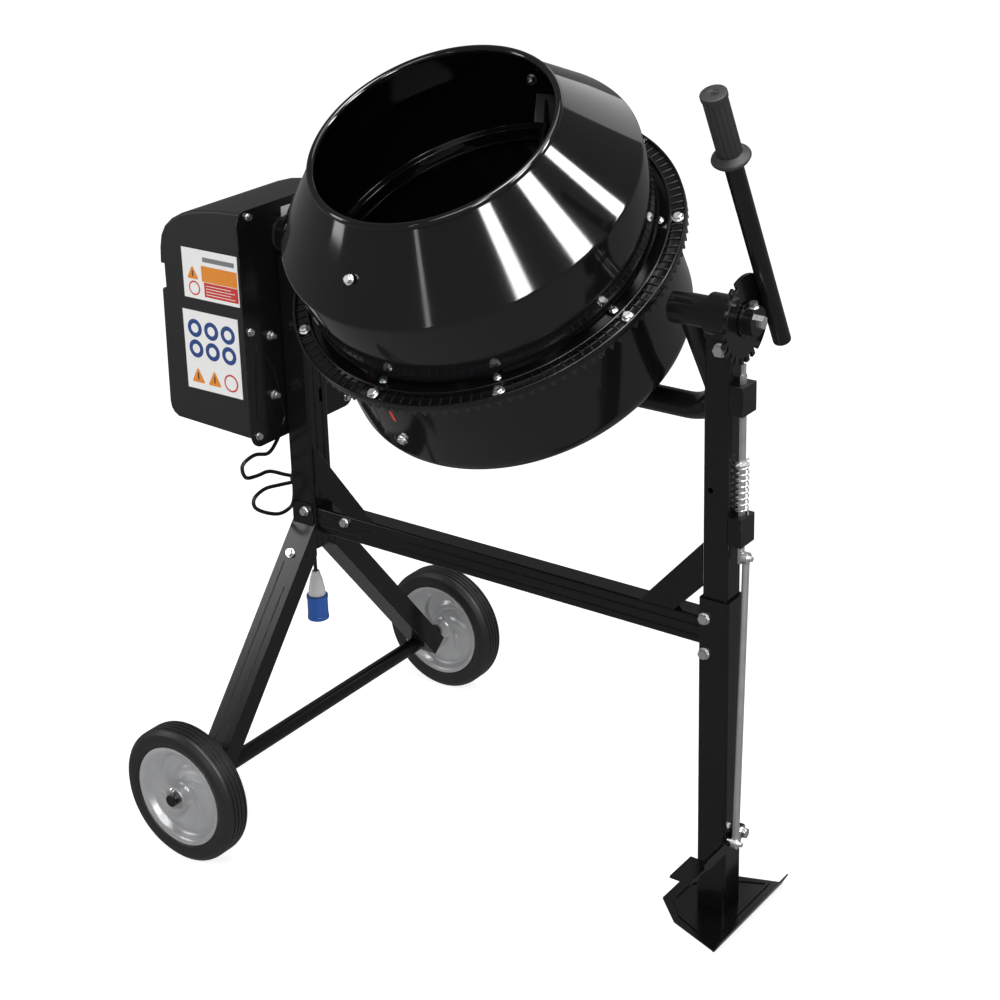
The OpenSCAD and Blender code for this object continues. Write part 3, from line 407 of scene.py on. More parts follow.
def hex_bolt(across_flats, height, washer=1.25, stub=0.0):
    """A hexagon head on its washer, seated on z = 0, in mm."""
    r = across_flats / 2
    wr = r * washer
    top = WASHER_T + height
    flat = turned([(0, 0), (wr - 0.3, 0), (wr, 0.3), (wr, WASHER_T - 0.3), (wr - 0.4, WASHER_T),
                   (0, WASHER_T)], 28)
    head = turned([(0, WASHER_T), (r, WASHER_T), (r, top - 0.9), (r * 0.86, top), (r * 0.42, top),
                   (r * 0.4, top - 0.2), (0, top - 0.2)], 6)
    parts = [flat, head]
    if stub:
        end = top + stub
        parts.append(turned([(0, top - 1), (r * 0.5, top - 1), (r * 0.5, end - 0.6), (r * 0.4, end),
                             (0, end)], 16))
    return joined(*parts)


def facing(point, direction):
    """A matrix that puts z = 0 on a point in mm with Z along the direction."""
    turn = Vector((0, 0, 1)).rotation_difference(Vector(direction)).to_matrix().to_4x4()
    return Matrix.Translation(Vector(point) * MM) @ turn


WIDE_EDGE, MERGE = 5, 2e-6


def dressed(node, finish, body, slot, soften=0.8, angle=32.0, wide=None):
    """A CAD piece with merged points, softened sharp edges and its finish; wide picks edges rounded more."""
    bm = bmesh.new()
    bm.from_mesh(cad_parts[node].data)
    bmesh.ops.remove_doubles(bm, verts=bm.verts, dist=MERGE)
    bmesh.ops.dissolve_limit(bm, angle_limit=math.radians(0.3), verts=bm.verts, edges=bm.edges)
    # Faces of the softened edges are marked for paler paint, partly wear and partly a painted edge highlight.
    wear_and_highlight = bm.faces.layers.float.new("edge_wear_and_highlight")
    if wide:
        bmesh.ops.bevel(bm, geom=[e for e in bm.edges if wide(e)], offset=WIDE_EDGE * MM, segments=5,
                        profile=0.5, affect="EDGES", clamp_overlap=False)
    if soften:
        sharp = [e for e in bm.edges if len(e.link_faces) == 2 and e.calc_face_angle(0) > math.radians(angle)]
        for face in bmesh.ops.bevel(bm, geom=sharp, offset=soften * MM, segments=2, profile=0.5,
                                    affect="EDGES", clamp_overlap=True)["faces"]:
            face[wear_and_highlight] = 1.0
    piece = add(node + "_finished", bm, finish, None, 40)
    even_normals(piece)
    return settle(piece, body, slot, node)


# ---------- repeats ----------

def repeat_tree():
    """Geometry nodes that repeat a piece, turned about Z and shifted step by step."""
    tree = bpy.data.node_groups.new("repeated_pieces", "GeometryNodeTree")
    sockets = (("Piece", "Geometry"), ("Count", "Int"), ("Turn", "Float"), ("Start", "Float"),
               ("Shift", "Vector"), ("Scatter", "Float"), ("Seed", "Int"), ("Finish", "Material"))
    for name, kind in sockets:
        tree.interface.new_socket(name, in_out="INPUT", socket_type="NodeSocket" + kind)
    tree.interface.new_socket("Pieces", in_out="OUTPUT", socket_type="NodeSocketGeometry")

    def node(kind, settings=None, links=None):
        made = tree.nodes.new(kind)
        for key, value in (settings or {}).items():
            setattr(made, key, value)
        for key, value in (links or {}).items():
            if hasattr(value, "is_output"):
                tree.links.new(value, made.inputs[key])
            else:
                made.inputs[key].default_value = value
        return made

    given = node("NodeGroupInput").outputs
    index = node("GeometryNodeInputIndex").outputs[0]
    turn = node("ShaderNodeMath", {"operation": "MULTIPLY_ADD"},
                {0: index, 1: given["Turn"], 2: given["Start"]})
    shift = node("ShaderNodeVectorMath", {"operation": "SCALE"}, {0: given["Shift"], "Scale": index})
    points = node("GeometryNodePoints", None, {"Count": given["Count"], "Position": shift.outputs[0]})
    scatter = node("FunctionNodeRandomValue", {"data_type": "FLOAT"}, {"Seed": given["Seed"]})
    loose = node("ShaderNodeMath", {"operation": "MULTIPLY_ADD"},
                 {0: scatter.outputs[1], 1: given["Scatter"], 2: turn.outputs[0]})
    spin = node("ShaderNodeCombineXYZ", None, {"Z": loose.outputs[0]})
    copies = node("GeometryNodeInstanceOnPoints", None, {
        "Points": points.outputs[0], "Instance": given["Piece"], "Rotation": spin.outputs[0]})
    real = node("GeometryNodeRealizeInstances", None, {"Geometry": copies.outputs[0]})
    painted = node("GeometryNodeSetMaterial", None, {
        "Geometry": real.outputs[0], "Material": given["Finish"]})
    out = node("NodeGroupOutput")
    tree.links.new(painted.outputs[0], out.inputs[0])
    return tree


REPEAT = repeat_tree()
SOCKETS = {item.name: item.identifier for item in REPEAT.interface.items_tree if item.in_out == "INPUT"}


def repeated(name, bm, finish, count, turn=0.0, start=0.0, shift=(0, 0, 0), scatter=0.0, place=None,
             angle=32.0):
    """The piece in bm, repeated by the geometry nodes and made one mesh; turn and start in degrees."""
    item = add(name + "_item", bm, finish, None, angle)
    rule = item.modifiers.new("repeat", "NODES")
    rule.node_group = REPEAT
    for key, value in (("Count", count), ("Turn", math.radians(turn)), ("Start", math.radians(start)),
                       ("Shift", [v * MM for v in shift]), ("Scatter", math.radians(scatter)), ("Seed", 7),
                       ("Finish", FINISH[finish])):
        rule[SOCKETS[key]] = value
    ready = item.evaluated_get(bpy.context.evaluated_depsgraph_get())
    mesh = bpy.data.meshes.new_from_object(ready)
    mesh.name = name
    item.modifiers.remove(rule)
    bpy.data.objects.remove(item)
    if place is not None:
        mesh.transform(place)
    made = bpy.data.objects.new(name, mesh)
    bpy.context.scene.collection.objects.link(made)
    return made


# ---------- cord ----------

ROUTE = [(-869, 6, 640), (-869, 6, 622), (-862, -16, 606), (-850, -50, 601), (-845, -88, 612),
         (-845, -118, 604), (-846, -112, 580), (-848, -84, 572), (-850, -50, 568), (-846, -18, 552),
         (-846, 4, 540), (-850, 10, 528), (-853, -20, 532), (-854, -58, 538), (-852, -88, 532),
         (-850, -90, 516), (-848, -66, 498), (-846, -34, 485), (-843, -8, 490), (-835, -8, 512),
         (-834, -8, 534), (-834, -8, 556), (-834, 4, 572), (-834, 22, 568), (-834, 33, 548),
         (-835, 36, 500), (-836, 36, 430), (-836, 36, 352)]
CORD_D = 6.5


def smooth_path(points, steps):
    """Points on one smooth curve through the given ones."""
    made = []
    last = len(points) - 1
    for i in range(last):
        a, b = Vector(points[max(i - 1, 0)]), Vector(points[i])
        c, d = Vector(points[i + 1]), Vector(points[min(i + 2, last)])
        for k in range(steps):
            t = k / steps
            made.append(0.5 * (2 * b + (c - a) * t + (2 * a - 5 * b + 4 * c - d) * t * t
                               + (3 * b - a - 3 * c + d) * t * t * t))
    return made + [Vector(points[last])]


route = smooth_path(ROUTE, 6)
cord_length = sum((b - a).length for a, b in zip(route, route[1:])) * MM
cord = add("power_cord_sheath", tube(route, CORD_D / 2, 14), "cable_sheath", None, 60)
settle(cord, "stand", "cable_black", "power_cord")

PLUG = Matrix.Translation((-0.836, 0.036, 0.26))
plug_body = add("plug_body_moulding", joined(
    turned([(0, 46), (15.2, 46), (15.6, 47), (15.2, 50), (14.6, 56), (12.6, 66), (11, 76), (8.4, 84), (7, 90),
            (6.4, 91.6), (0, 92)], 48),
    *[(turned([(0, 24), (1.6, 24), (2, 24.6), (2, 42), (0, 42)], 16),
       Matrix.Rotation(math.radians(a), 4, "Z") @ Matrix.Translation((0.008, 0, 0))) for a in (0, 120, 240)]),
    "plug_white", PLUG)
settle(plug_body, "stand", "plug_white", "plug_body")


def shroud_relief(r, z, a):
    """Flats for the fingers and a key rib round the plug's shroud."""
    if r > 17.5 and 8 < z < 38:
        r -= 0.5 * (0.5 + 0.5 * math.cos(18 * a))
    return r, z


shroud_wall = rounded([
    (16, 0, 0.4), (19, 0, 0.6), (19, 6, 0.5), (18.3, 7, 0.5), (18.3, 38, 0.5), (19, 39, 0.5), (19, 45.8, 1.2),
    (15, 45.8, 0.3), (15, 42, 0.3), (16, 42, 0.3)], 4)
plug_shroud = add("plug_shroud_moulding", joined(
    turned(shroud_wall, 72, shroud_relief),
    turned([(0, 42.2), (15.6, 42.2), (15.6, 45.7), (0, 45.7)], 48)), "plug_blue", PLUG)
settle(plug_shroud, "stand", "plug_blue", "plug_shroud")
[tuple(p * MM) for p in route]

# ---------- drum ----------

RING_R, RING_IN, RING_OUT, RING_BASE, RING_TOP = 300, 259, 312, 35.4, 39.4
LIP_W, OUTER_LIP, INNER_LIP = 4, 8, 11
LIP_R, NECK_R, BAND_D, BAND_R = 286, 263, 57, 275
FOLD_R, FOLD_D, MOUTH_R, MOUTH_D, BEAD = 281, 170, 195, 287, 6
BOWL_R, BOWL_D, BOWL_CORNER, SHEET = 278, 155, 32, 2
BOLTS, FIRST_BOLT = 9, -15
BLADE_TURN = 119
CONE_BOLT, BOWL_BOLT = (-94, 242.5, 223), (-97.7, -90)
TEETH = 120

bead_r, bead_d = MOUTH_R - BEAD, MOUTH_D - BEAD
bead = [(bead_r + BEAD * math.cos(math.radians(a)), bead_d + BEAD * math.sin(math.radians(a)))
        for a in range(-42, 290, 12)]
outer = rounded([(NECK_R, RING_TOP, 0), (NECK_R, BAND_D, 1.5), (BAND_R, BAND_D, 2.5), (FOLD_R, FOLD_D, 9),
                 (bead_r + 3.8, bead_d - 4.6, 0), (NECK_R - 40, RING_TOP, 0)], 8)
outer = outer[:-1]
inner = rounded([
    (bead_r - 2, bead_d - 4.6, 0), (FOLD_R - 3.4, FOLD_D - 1, 8), (BAND_R - SHEET, BAND_D + SHEET, 1),
    (NECK_R - SHEET, BAND_D + SHEET, 1), (NECK_R - SHEET, RING_TOP, 0), (100, 150, 0)], 8)[:-1]
cone = add("drum_cone_shell", turned(outer + bead + inner, 192), "drum_paint", DRUM, 40)
settle(cone, "drum", "black_paint", "drum_cone")


def bowl_corner(radius, angles):
    """The bowl's rounded lower corner, as (radius, depth) points."""
    return [(BOWL_R - BOWL_CORNER + radius * math.cos(math.radians(a)),
             BOWL_CORNER - BOWL_D + radius * math.sin(math.radians(a))) for a in angles]


wall = [(BOWL_R, RING_BASE)] + bowl_corner(BOWL_CORNER, range(0, -91, -9))
wall += [(120, -154), (34, -150), (34, -148), (120, -152)]
wall += bowl_corner(BOWL_CORNER - SHEET, range(-90, 1, 9)) + [(BOWL_R - SHEET, RING_BASE)]
bowl = add("drum_bowl_shell", turned(wall, 192), "drum_paint", DRUM, 40)
settle(bowl, "drum", "black_paint", "drum_bowl")

ring_section = rounded([
    (RING_IN, RING_BASE, 0.4), (RING_OUT, RING_BASE, 0.8), (RING_OUT, RING_TOP + OUTER_LIP, 1.2),
    (RING_OUT - LIP_W, RING_TOP + OUTER_LIP, 1.2), (RING_OUT - LIP_W, RING_TOP, 0.6),
    (LIP_R + LIP_W, RING_TOP, 0.6), (LIP_R + LIP_W, RING_TOP + INNER_LIP, 1.2),
    (LIP_R, RING_TOP + INNER_LIP, 1.2), (LIP_R, RING_TOP, 0.6), (RING_IN, RING_TOP, 0.4)], 3)
ring_web = add("ring_gear_web", turned(ring_section, 240), "frame_paint", DRUM)
settle(ring_web, "drum", "gear_black", "ring_gear")

MODULE, BACKLASH, TOOTH_W, PITCH_D = 5, 1.4, 22, 30
pressure = math.tan(math.radians(20))
half_tooth = (math.pi * MODULE / 2 - BACKLASH) / 2
root, tip = RING_BASE + 0.5 - PITCH_D, -3.5


def tooth_mesh():
    """One straight-flanked tooth of the ring, below its web."""
    bm = bmesh.new()
    flanks = [(-half_tooth - pressure * root, root), (-half_tooth - pressure * tip + 0.6, tip + 0.2),
              (-half_tooth - pressure * tip + 1.4, tip), (half_tooth + pressure * tip - 1.4, tip),
              (half_tooth + pressure * tip - 0.6, tip + 0.2), (half_tooth + pressure * root, root)]
    ends = (RING_R - TOOTH_W / 2, RING_R + TOOTH_W / 2)
    sides = [[bm.verts.new((r * MM, y * MM, (z + PITCH_D) * MM)) for y, z in flanks] for r in ends]
    for k in range(len(flanks)):
        n = (k + 1) % len(flanks)
        bm.faces.new((sides[0][k], sides[0][n], sides[1][n], sides[1][k]))
    bm.faces.new(sides[0])
    bm.faces.new(sides[1][::-1])
    bmesh.ops.recalc_face_normals(bm, faces=bm.faces)
    return bm


teeth = repeated("ring_gear_teeth", tooth_mesh(), "gear_paint", TEETH, 360 / TEETH, 180 / TEETH, place=DRUM)
settle(teeth, "drum", "gear_black")


def rib_mesh(low, high, height, width):
    """One radial rib on the ring, between two radii."""
    bm = bmesh.new()
    block(bm, (low, -width / 2, RING_TOP - 0.5), (high, width / 2, RING_TOP + height), 0.7)
    return bm


ribs = repeated("ring_gear_ribs", rib_mesh(LIP_R + 3, RING_OUT - 3, 1.8, 2.6),
                "gear_paint", TEETH, 360 / TEETH, 0, place=DRUM)
settle(ribs, "drum", "gear_black")

big_bolt = (hex_bolt(14, 5.5, 1.3), Matrix.Translation((0.299, 0, (RING_TOP + 2.6) * MM)))
small_bolt = (hex_bolt(10, 4, 1.3), Matrix.Translation((0.271, 0, (RING_TOP + 3.4) * MM)))
shank = (turned([(0, RING_BASE - 4), (2.6, RING_BASE - 4), (3, RING_BASE - 3.4), (3, RING_TOP + 4),
                 (0, RING_TOP + 4)], 12), Matrix.Translation((0.271, 0, 0)))
drum_bolts = repeated("ring_gear_bolts", joined(big_bolt, small_bolt, shank), "zinc", BOLTS, 360 / BOLTS,
                      FIRST_BOLT, scatter=2.0, place=DRUM)
settle(drum_bolts, "drum", "zinc", "ring_bolts")


def on_drum(angle, radius, depth, tilt):
    """A place on the drum's skin; tilt is how far its normal rises above the radial way, in degrees."""
    a, t = math.radians(angle), math.radians(tilt)
    radial = Vector((math.cos(a), math.sin(a), 0))
    return facing(radial * radius + Vector((0, 0, depth)), radial * math.cos(t) + Vector((0, 0, math.sin(t))))


skin_bolts = [
    (hex_bolt(13, 5.5, 1.25), on_drum(CONE_BOLT[0], CONE_BOLT[1], CONE_BOLT[2], 53.7)),
    (hex_bolt(14, 5.5, 1.25), on_drum(BOWL_BOLT[0], BOWL_R - 0.2, BOWL_BOLT[1], 0)),
    (hex_bolt(15, 7, 1.2, 4), on_drum(97, FOLD_R - 10, 152, 176))]
for angle in (BLADE_TURN, BLADE_TURN + 180):
    skin_bolts.append((hex_bolt(14, 5.5, 1.25), on_drum(angle, 196, -BOWL_D + 0.3, -90)))
bolt_set = add("drum_skin_bolts", joined(*skin_bolts), "zinc", DRUM)
settle(bolt_set, "drum", "zinc", "blade_bolts")

marks = bmesh.new()
for angle, low, high, r in ((-102.5, 40, 56, NECK_R + 0.5), (-96.7, -46, -24, BOWL_R + 0.4)):
    columns = []
    for step in (-0.6, -0.3, 0, 0.3, 0.6):
        a = math.radians(angle + step)
        columns.append([marks.verts.new((edge_r * MM * math.cos(a), edge_r * MM * math.sin(a), d * MM))
                        for edge_r, d in ((r, low), (r - 1, low), (r - 1, high), (r, high))])
    for one, two in zip(columns, columns[1:]):
        for k in range(4):
            marks.faces.new((one[k], one[(k + 1) % 4], two[(k + 1) % 4], two[k]))
    marks.faces.new(columns[0])
    marks.faces.new(columns[-1][::-1])
bmesh.ops.recalc_face_normals(marks, faces=marks.faces)
paint_marks = add("assembly_paint_marks", marks, "mark_red", DRUM)
settle(paint_marks, "drum", "button_red")

# ---------- wheels ----------

WHEEL_R, WHEEL_Y, RIM_R, TYRE_W = 118, 350, 86, 50
PETAL_IN, PETAL_OUT, PETAL_HEIGHT = 21, 69, 5.2
half_w = TYRE_W / 2
tread = []
for y in (-12, -4, 4, 12):
    tread += [(WHEEL_R - 0.6, y - 1.6, 0.3), (WHEEL_R - 3, y - 1.1, 0.3), (WHEEL_R - 3, y + 1.1, 0.3),
              (WHEEL_R - 0.6, y + 1.6, 0.3)]
tyre_section = rounded([(RIM_R, -half_w + 8, 1), (RIM_R + 4, -half_w + 2, 2), (RIM_R + 12, -half_w, 2),
                        (WHEEL_R - 9, -half_w + 0.6, 4), (WHEEL_R - 1.5, -half_w + 7, 3)] + tread +
                       [(WHEEL_R - 1.5, half_w - 7, 3), (WHEEL_R - 9, half_w - 0.6, 4),
                        (RIM_R + 12, half_w, 2), (RIM_R + 4, half_w - 2, 2), (RIM_R, half_w - 8, 1)], 4)


def petals(r, z, a):
    """Swirling embossed petals between the hub and the rim's trough."""
    if PETAL_IN < r < PETAL_OUT:
        share = (r - PETAL_IN) / (PETAL_OUT - PETAL_IN)
        window = math.sin(math.pi * share) ** 0.7
        swirl = a + 1.15 * share * (1 if z > 0 else -1)
        wave = max(0.0, math.cos(6 * swirl)) ** 0.8 - 0.25 * max(0.0, math.cos(6 * swirl + 0.9)) ** 3
        z += math.copysign(1.0, z) * PETAL_HEIGHT * window * wave
    return r, z


face_line = [(17.5, 9), (20, 7.2)] + [(21 + k * 2.0, 7 + 2.4 * math.sin(math.pi * k / 24)) for k in range(25)]
face_line += [(71, 6.6), (73.5, 7.6), (76, 11), (78.5, 16.5), (80.5, 19.6), (83, 20.8), (86, 21.8), (87, 22),
              (87.2, 21.4)]
hub_line = [(10.04, 26), (14.6, 26), (15.4, 25.4), (15.4, 14), (16.2, 10.6)]
side = hub_line + face_line + [(86, 17)]
rim_section = [(r, z) for r, z in side] + [(r, -z) for r, z in reversed(side)]
for name, y in (("front", -WHEEL_Y), ("rear", WHEEL_Y)):
    place = (Matrix.Translation((POST_X * MM, y * MM, WHEEL_R * MM))
             @ Matrix.Rotation(math.radians(-90), 4, "X"))
    tyre = add(name + "_tyre_rubber", turned(tyre_section, 160), "tyre_rubber", place, 30)
    settle(tyre, name + "_wheel", "tyre_black", name + "_tyre")
    rim = add(name + "_rim_pressing", turned(rim_section, 180, petals), "rim_paint", place, 50)
    settle(rim, name + "_wheel", "rim_grey", name + "_rim")

# ---------- carried-over pieces ----------

COVER_Y = (-104, 142)
COVER_FRONT, RECESS_Z, RECESS_HALF, RECESS_BACK = -0.8275, 0.904, 0.03, -1.012


def cover_side(edge):
    """Outer edges of the motor cover's two flat sides, without the switch recess."""
    if len(edge.link_faces) != 2 or edge.calc_face_angle(0) < 1:
        return False
    ends = [vert.co for vert in edge.verts]
    on_side = any(all(abs(co.y - y * MM) < 1e-5 for co in ends) for y in COVER_Y)
    along = (ends[1] - ends[0]).normalized()
    middle = (ends[0] + ends[1]) / 2
    level = abs(middle.z - RECESS_Z) < RECESS_HALF
    in_recess = level and (abs(along.x) > 0.9 or middle.x > RECESS_BACK)
    return on_side and not in_recess and middle.x < COVER_FRONT


PAINTED = [("right_post", 0.8), ("right_leg", 0.8), ("foot_plate", 0.7), ("left_post", 0.8),
           ("cross_beam", 0.8), ("left_brace", 0.6), ("right_brace", 0.6), ("front_wheel_leg", 1.2),
           ("rear_wheel_leg", 1.2), ("axle", 0.8), ("left_bearing", 1.0), ("right_bearing", 1.0),
           ("motor_plate", 0.5), ("latch_guides", 0.6)]
for node, soften in PAINTED:
    dressed(node, "frame_paint", "stand", "black_paint", soften)
for node in ("yoke_frame", "index_disc", "tilt_lever"):
    dressed(node, "frame_paint", "yoke", "black_paint", 0.5)
dressed("foot_pedal", "frame_paint", "pedal", "black_paint", 0.6)
for node in ("wheel_retainers", "frame_bolts", "cover_screws", "pedal_pivot"):
    dressed(node, "zinc", "stand", "zinc", 0.4)
for node in ("lever_bolt", "drum_spindle", "pinion_bearings"):
    dressed(node, "zinc", "yoke", "zinc", 0.4)
for node in ("latch_bar", "pull_rod"):
    dressed(node, "rod_steel", "latch", "zinc", 0.4)
dressed("mixing_blades", "blade_paint", "drum", "blade_steel", 0.5)
dressed("drum_hub", "motor_alu", "drum", "motor_alu", 0.6)
dressed("hub_bearings", "zinc", "drum", "zinc", 0.3)
dressed("pinion_gear", "gear_steel", "pinion", "gear_steel", 0.3)
dressed("pinion_shaft", "gear_steel", "pinion", "gear_steel", 0.4)
dressed("driven_pulley", "motor_alu", "pinion", "motor_alu", 0.4)
dressed("motor_shaft", "gear_steel", "motor_rotor", "gear_steel", 0.4)
dressed("motor_pulley", "gear_steel", "motor_rotor", "gear_steel", 0.3)
dressed("motor_fan", "switch_black", "motor_rotor", "switch_black", 0.3)
dressed("motor_housing", "motor_alu", "stand", "motor_alu", 0.4)
dressed("motor_capacitor", "plug_white", "stand", "plug_white", 1.0)
dressed("motor_cover", "cover_plastic", "stand", "cover_grey", 0.8, wide=cover_side)
dressed("switch_box", "switch_black", "stand", "switch_black", 0.8)
dressed("cable_gland", "switch_black", "stand", "switch_black", 0.4)
dressed("cable_clip", "switch_black", "stand", "switch_black", 0.4)
dressed("drive_belt", "belt_rubber", "stand", "belt_rubber", 0)
dressed("label_panels", "panel_white", "stand", "label_white", 0)
dressed("start_button", "button_green", "start", "button_green", 0.8)
dressed("stop_button", "button_red", "stop", "button_red", 0.8)

# ---------- pressed lines on the wheel legs ----------

BEAM_Z, LEG_FOOT_Y, LEG_HEAD_Y = 462, 290, 15
LEG_ANGLE = math.atan2(BEAM_Z - WHEEL_R, LEG_FOOT_Y - LEG_HEAD_Y)
for side, name in ((-1, "front"), (1, "rear")):
    leg = (Matrix.Translation((POST_X * MM, side * LEG_FOOT_Y * MM, WHEEL_R * MM))
           @ Matrix.Rotation(side * (math.pi / 2 - LEG_ANGLE), 4, "X"))
    lines = joined(*[tube([(x, side * 18.2, low), (x, side * 18.2, high)], 1.0, 8)
                     for x, low, high in ((-9, 0, 372), (11, 0, 330))])
    settle(add(name + "_leg_lines", lines, "frame_paint", leg, 60), "stand", "black_paint")

# ---------- lever grip ----------

RIBS_LOW, RIBS_HIGH, GRIP_R = 14, 102, 17.6
LEVER = (Matrix.Translation((0.0485, 0, TILT_H * MM)) @ Matrix.Rotation(math.radians(27), 4, "X")
         @ Matrix.Translation((0, 0.05, 0.254)))


def grip_ribs(r, z, a):
    """Lengthwise ribs on the grip, with a plain collar above the flange."""
    if r > 15 and RIBS_LOW < z < RIBS_HIGH:
        share = min(1.0, (z - RIBS_LOW) / 6, (RIBS_HIGH - z) / 4)
        r -= share * 1.5 * (0.5 + 0.5 * math.cos(14 * a)) ** 2
    return r, z


grip_line = rounded([(13.6, -2, 0.4), (25, -2, 1.5), (28.3, 2.5, 2.2), (26.5, 6.5, 3), (20, 9, 5),
                     (GRIP_R, RIBS_LOW, 2)], 5)
grip_line += [(GRIP_R, RIBS_LOW + 4 * k) for k in range(1, 22)] + [(GRIP_R, 101), (GRIP_R, 102.6)]
grip_line += rounded([(18.9, 103, 0.6), (19, 111, 1.6), (8, 111, 0), (0, 111, 0)], 4)[:-1]
grip_line += [(7.4, 110.2), (0, 109.6)]
grip = turned([(0, 105.4), (13.6, 105.4)] + grip_line, 168, grip_ribs)
slits = []
for angle in (8, 95, 172, 260, 322):
    place = (Matrix.Rotation(math.radians(angle), 4, "Z") @ Matrix.Translation((0.0045, 0, 0.1102))
             @ Matrix.Diagonal((5.2, 0.7, 0.4, 1)))
    slits.append((turned([(0, 0), (1, 0), (1, 1), (0, 1)], 4), place))
grip_piece = add("lever_grip_moulding", grip, "grip_rubber", LEVER, 30)
settle(grip_piece, "yoke", "grip_rubber", "lever_grip")
settle(add("lever_grip_star", joined(*slits), "switch_black", LEVER), "yoke", "grip_rubber")

# ---------- panels ----------


def shape(points, thickness=0.12):
    """A flat shape on the cover's tipping side from (x, z) points in mm, just proud of its panel."""
    bm = bmesh.new()
    near = [bm.verts.new((x * MM, (PANEL_Y - thickness) * MM, z * MM)) for x, z in points]
    far = [bm.verts.new((x * MM, (PANEL_Y + 0.02) * MM, z * MM)) for x, z in points]
    bm.faces.new(near)
    bm.faces.new(far[::-1])
    for k in range(len(points)):
        n = (k + 1) % len(points)
        bm.faces.new((near[k], far[k], far[n], near[n]))
    bmesh.ops.recalc_face_normals(bm, faces=bm.faces)
    return bm


def disc(x, z, r, thickness=0.12):
    """A round shape about (x, z)."""
    turns = [math.pi * k / 16 for k in range(32)]
    return shape([(x + r * math.cos(a), z + r * math.sin(a)) for a in turns], thickness)


def bar(x, z, w, h, thickness=0.12):
    """An upright rectangle from its lower corner."""
    return shape([(x, z), (x + w, z), (x + w, z + h), (x, z + h)], thickness)


def sign(x, z, size):
    """A triangle with rounded corners about (x, z)."""
    return shape(rounded([(x - size, z - 0.8 * size, 2), (x + size, z - 0.8 * size, 2), (x, z + size, 2)], 3))


PANEL_Y = -104.4
UPPER_X, UPPER_Z, LOWER_X, LOWER_Z = -961, 877, -969, 716
columns = [LOWER_X + 25 + 37 * k for k in range(3)]
panel_parts = {
    "panel_grey": [bar(UPPER_X + 46, UPPER_Z + 66, 70, 8)],
    "panel_orange": [bar(UPPER_X + 42, UPPER_Z + 32, 79, 27), sign(UPPER_X + 22, UPPER_Z + 44, 13),
                     sign(columns[0], LOWER_Z + 24, 15), sign(columns[1], LOWER_Z + 24, 15)],
    "panel_red": [bar(UPPER_X + 46, UPPER_Z + 6, 75, 25), disc(UPPER_X + 24, UPPER_Z + 18, 12.5),
                  disc(columns[2], LOWER_Z + 24, 15.5)],
    "panel_blue": [disc(x, LOWER_Z + z, 15.8) for x in columns for z in (72, 108)],
    "panel_white": [disc(x, LOWER_Z + z, 8.2, 0.2) for x in columns for z in (72, 108)]
    + [bar(UPPER_X + 50, UPPER_Z + 10 + 5 * k, 64 - 9 * (k % 2), 1.1, 0.2) for k in range(4)]
    + [disc(UPPER_X + 24, UPPER_Z + 18, 9.8, 0.2), disc(columns[2], LOWER_Z + 24, 12.4, 0.2)],
    "switch_black": [bar(UPPER_X + 20.8, UPPER_Z + 38, 2.4, 10, 0.2)]
    + [bar(x - 1.3, LOWER_Z + 17, 2.6, 12, 0.2) for x in columns[:2]]}
for finish, shapes in panel_parts.items():
    settle(add("cover_panel_" + finish, joined(*shapes), finish), "stand", "label_white")

# ---------- motor plate details ----------

RIB = [(-86, 821), (-97, 686), (-71, 660), (-36, 654), (-28, 668), (-48, 757)]
rib_line = [Vector((-824.8, y, z)) for y, z in rounded([(y, z, 6) for y, z in RIB], 4)]
rib = tube(rib_line + rib_line[:2], 1.2, 8)
settle(add("motor_plate_rib", rib, "frame_paint", None, 60), "stand", "black_paint")
bracket = bmesh.new()
block(bracket, (-825, -17, 641), (-822, 27, 712), 1)
settle(add("motor_plate_bracket", bracket, "frame_paint"), "stand", "black_paint")
nuts = [(hex_bolt(13, 6, 1.3, 3), facing((-825, y, z), (1, 0, 0)))
        for y, z in ((-52, 713), (-52, 817), (52, 713))]
nuts.append((hex_bolt(14, 6, 1.3), facing((-822, 5, 676), (1, 0, 0))))
settle(add("motor_plate_nuts", joined(*nuts), "zinc"), "stand", "zinc")

# ---------- latch spring ----------

SPRING_R, WIRE_R, SPRING_X, SPRING_Z, SPRING_RISE = 9.4, 1.1, 32.5, 680.3, 75.5
WINDINGS, ROUND = 8, 24
coil = []
for k in range(WINDINGS * ROUND + 1):
    a = 2 * math.pi * k / ROUND
    coil.append((SPRING_X + SPRING_R * math.cos(a), SPRING_R * math.sin(a),
                 SPRING_Z + WIRE_R + SPRING_RISE * k / (WINDINGS * ROUND)))
spring = add("latch_spring_coil", tube(coil, WIRE_R, 10), "spring_wire", None, 60)
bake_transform(spring)
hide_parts("latch_spring")

# ---------- studio ----------

floor_bm = bmesh.new()
bmesh.ops.create_circle(floor_bm, cap_ends=True, radius=60, segments=96)
floor_finish = Finish("floor_paint", 0.9, 0, 0.1)
floor_shade = floor_finish.colour((0.86, 0.86, 0.86), (0.9, 0.9, 0.9), floor_finish.grain(0.4))
floor_finish.use("Base Color", floor_shade)
floor_finish.shader.inputs["Emission Color"].default_value = (1, 1, 1, 1)
floor_finish.shader.inputs["Emission Strength"].default_value = 0.84
FINISH["floor"] = floor_finish.material
floor = add("floor", floor_bm, "floor")
floor.visible_glossy = False

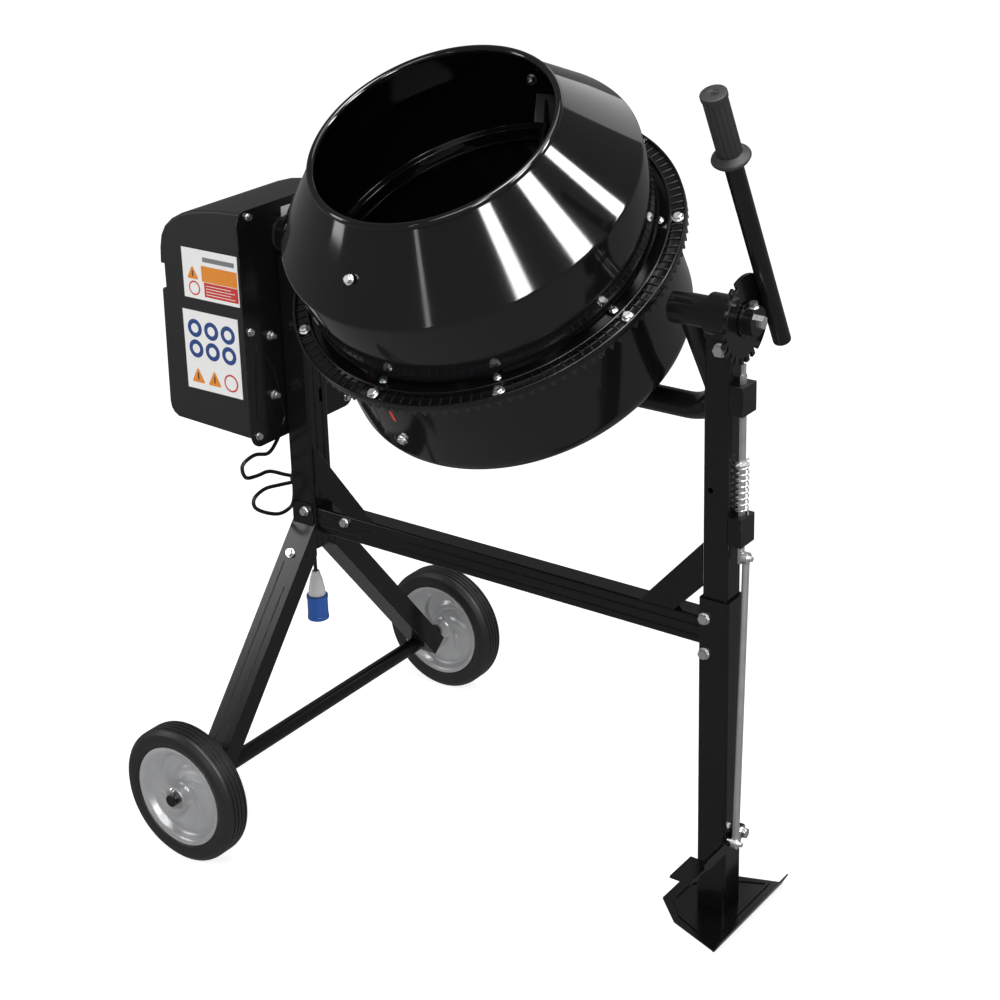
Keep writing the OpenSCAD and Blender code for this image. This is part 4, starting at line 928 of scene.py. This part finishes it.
world = bpy.data.worlds.new("studio")
world.use_nodes = True
sky = world.node_tree
room = sky.nodes["Background"]
room.inputs["Color"].default_value = (1, 1, 1, 1)
room.inputs["Strength"].default_value = 0.2
seen = sky.nodes.new("ShaderNodeBackground")
seen.inputs["Color"].default_value = (1, 1, 1, 1)
path = sky.nodes.new("ShaderNodeLightPath")
choice = sky.nodes.new("ShaderNodeMixShader")
sky.links.new(path.outputs["Is Camera Ray"], choice.inputs[0])
sky.links.new(room.outputs[0], choice.inputs[1])
sky.links.new(seen.outputs[0], choice.inputs[2])
sky.links.new(choice.outputs[0], sky.nodes["World Output"].inputs["Surface"])
bpy.context.scene.world = world
bpy.context.scene.view_settings.view_transform = "Standard"
bpy.context.scene.view_settings.look = "None"

DRUM_FRONT = Vector((-0.2, -0.15, 1.1))


def softbox(name, azimuth, elevation, distance, width, height, radiance, gloss_only=True):
    """A rectangular lamp that faces the drum; gloss_only ones show only as reflections."""
    data = bpy.data.lights.new(name, "AREA")
    data.shape = "RECTANGLE"
    data.size, data.size_y = width, height
    data.energy = radiance * math.pi * width * height
    lamp = bpy.data.objects.new(name, data)
    bpy.context.scene.collection.objects.link(lamp)
    az, el = math.radians(azimuth), math.radians(elevation)
    way = Vector((math.cos(az) * math.cos(el), math.sin(az) * math.cos(el), math.sin(el)))
    lamp.location = DRUM_FRONT + way * distance
    lamp.rotation_euler = way.to_track_quat("Z", "Y").to_euler()
    lamp.visible_camera = False
    lamp.visible_diffuse = not gloss_only


softbox("strip_right", -9, 35, 3, 0.62, 1.5, 28)
softbox("strip_far_right", 27, 40, 3, 0.42, 1.5, 28)
softbox("strip_near", -45, 21, 3, 0.4, 1.3, 26)
softbox("panel_behind", 97, 24, 3.2, 1.6, 1.4, 1.1)
softbox("strip_left", -150, 12, 3, 0.5, 1.6, 5)
softbox("strip_front", -92, 4, 3.2, 0.12, 1.4, 4)
softbox("top", 60, 80, 3.4, 2.2, 2.2, 2.6, False)
softbox("overhead", -60, 76, 3.1, 1.3, 1.3, 18)
softbox("fill", -75, 38, 4.2, 1.8, 1.8, 4.2, False)
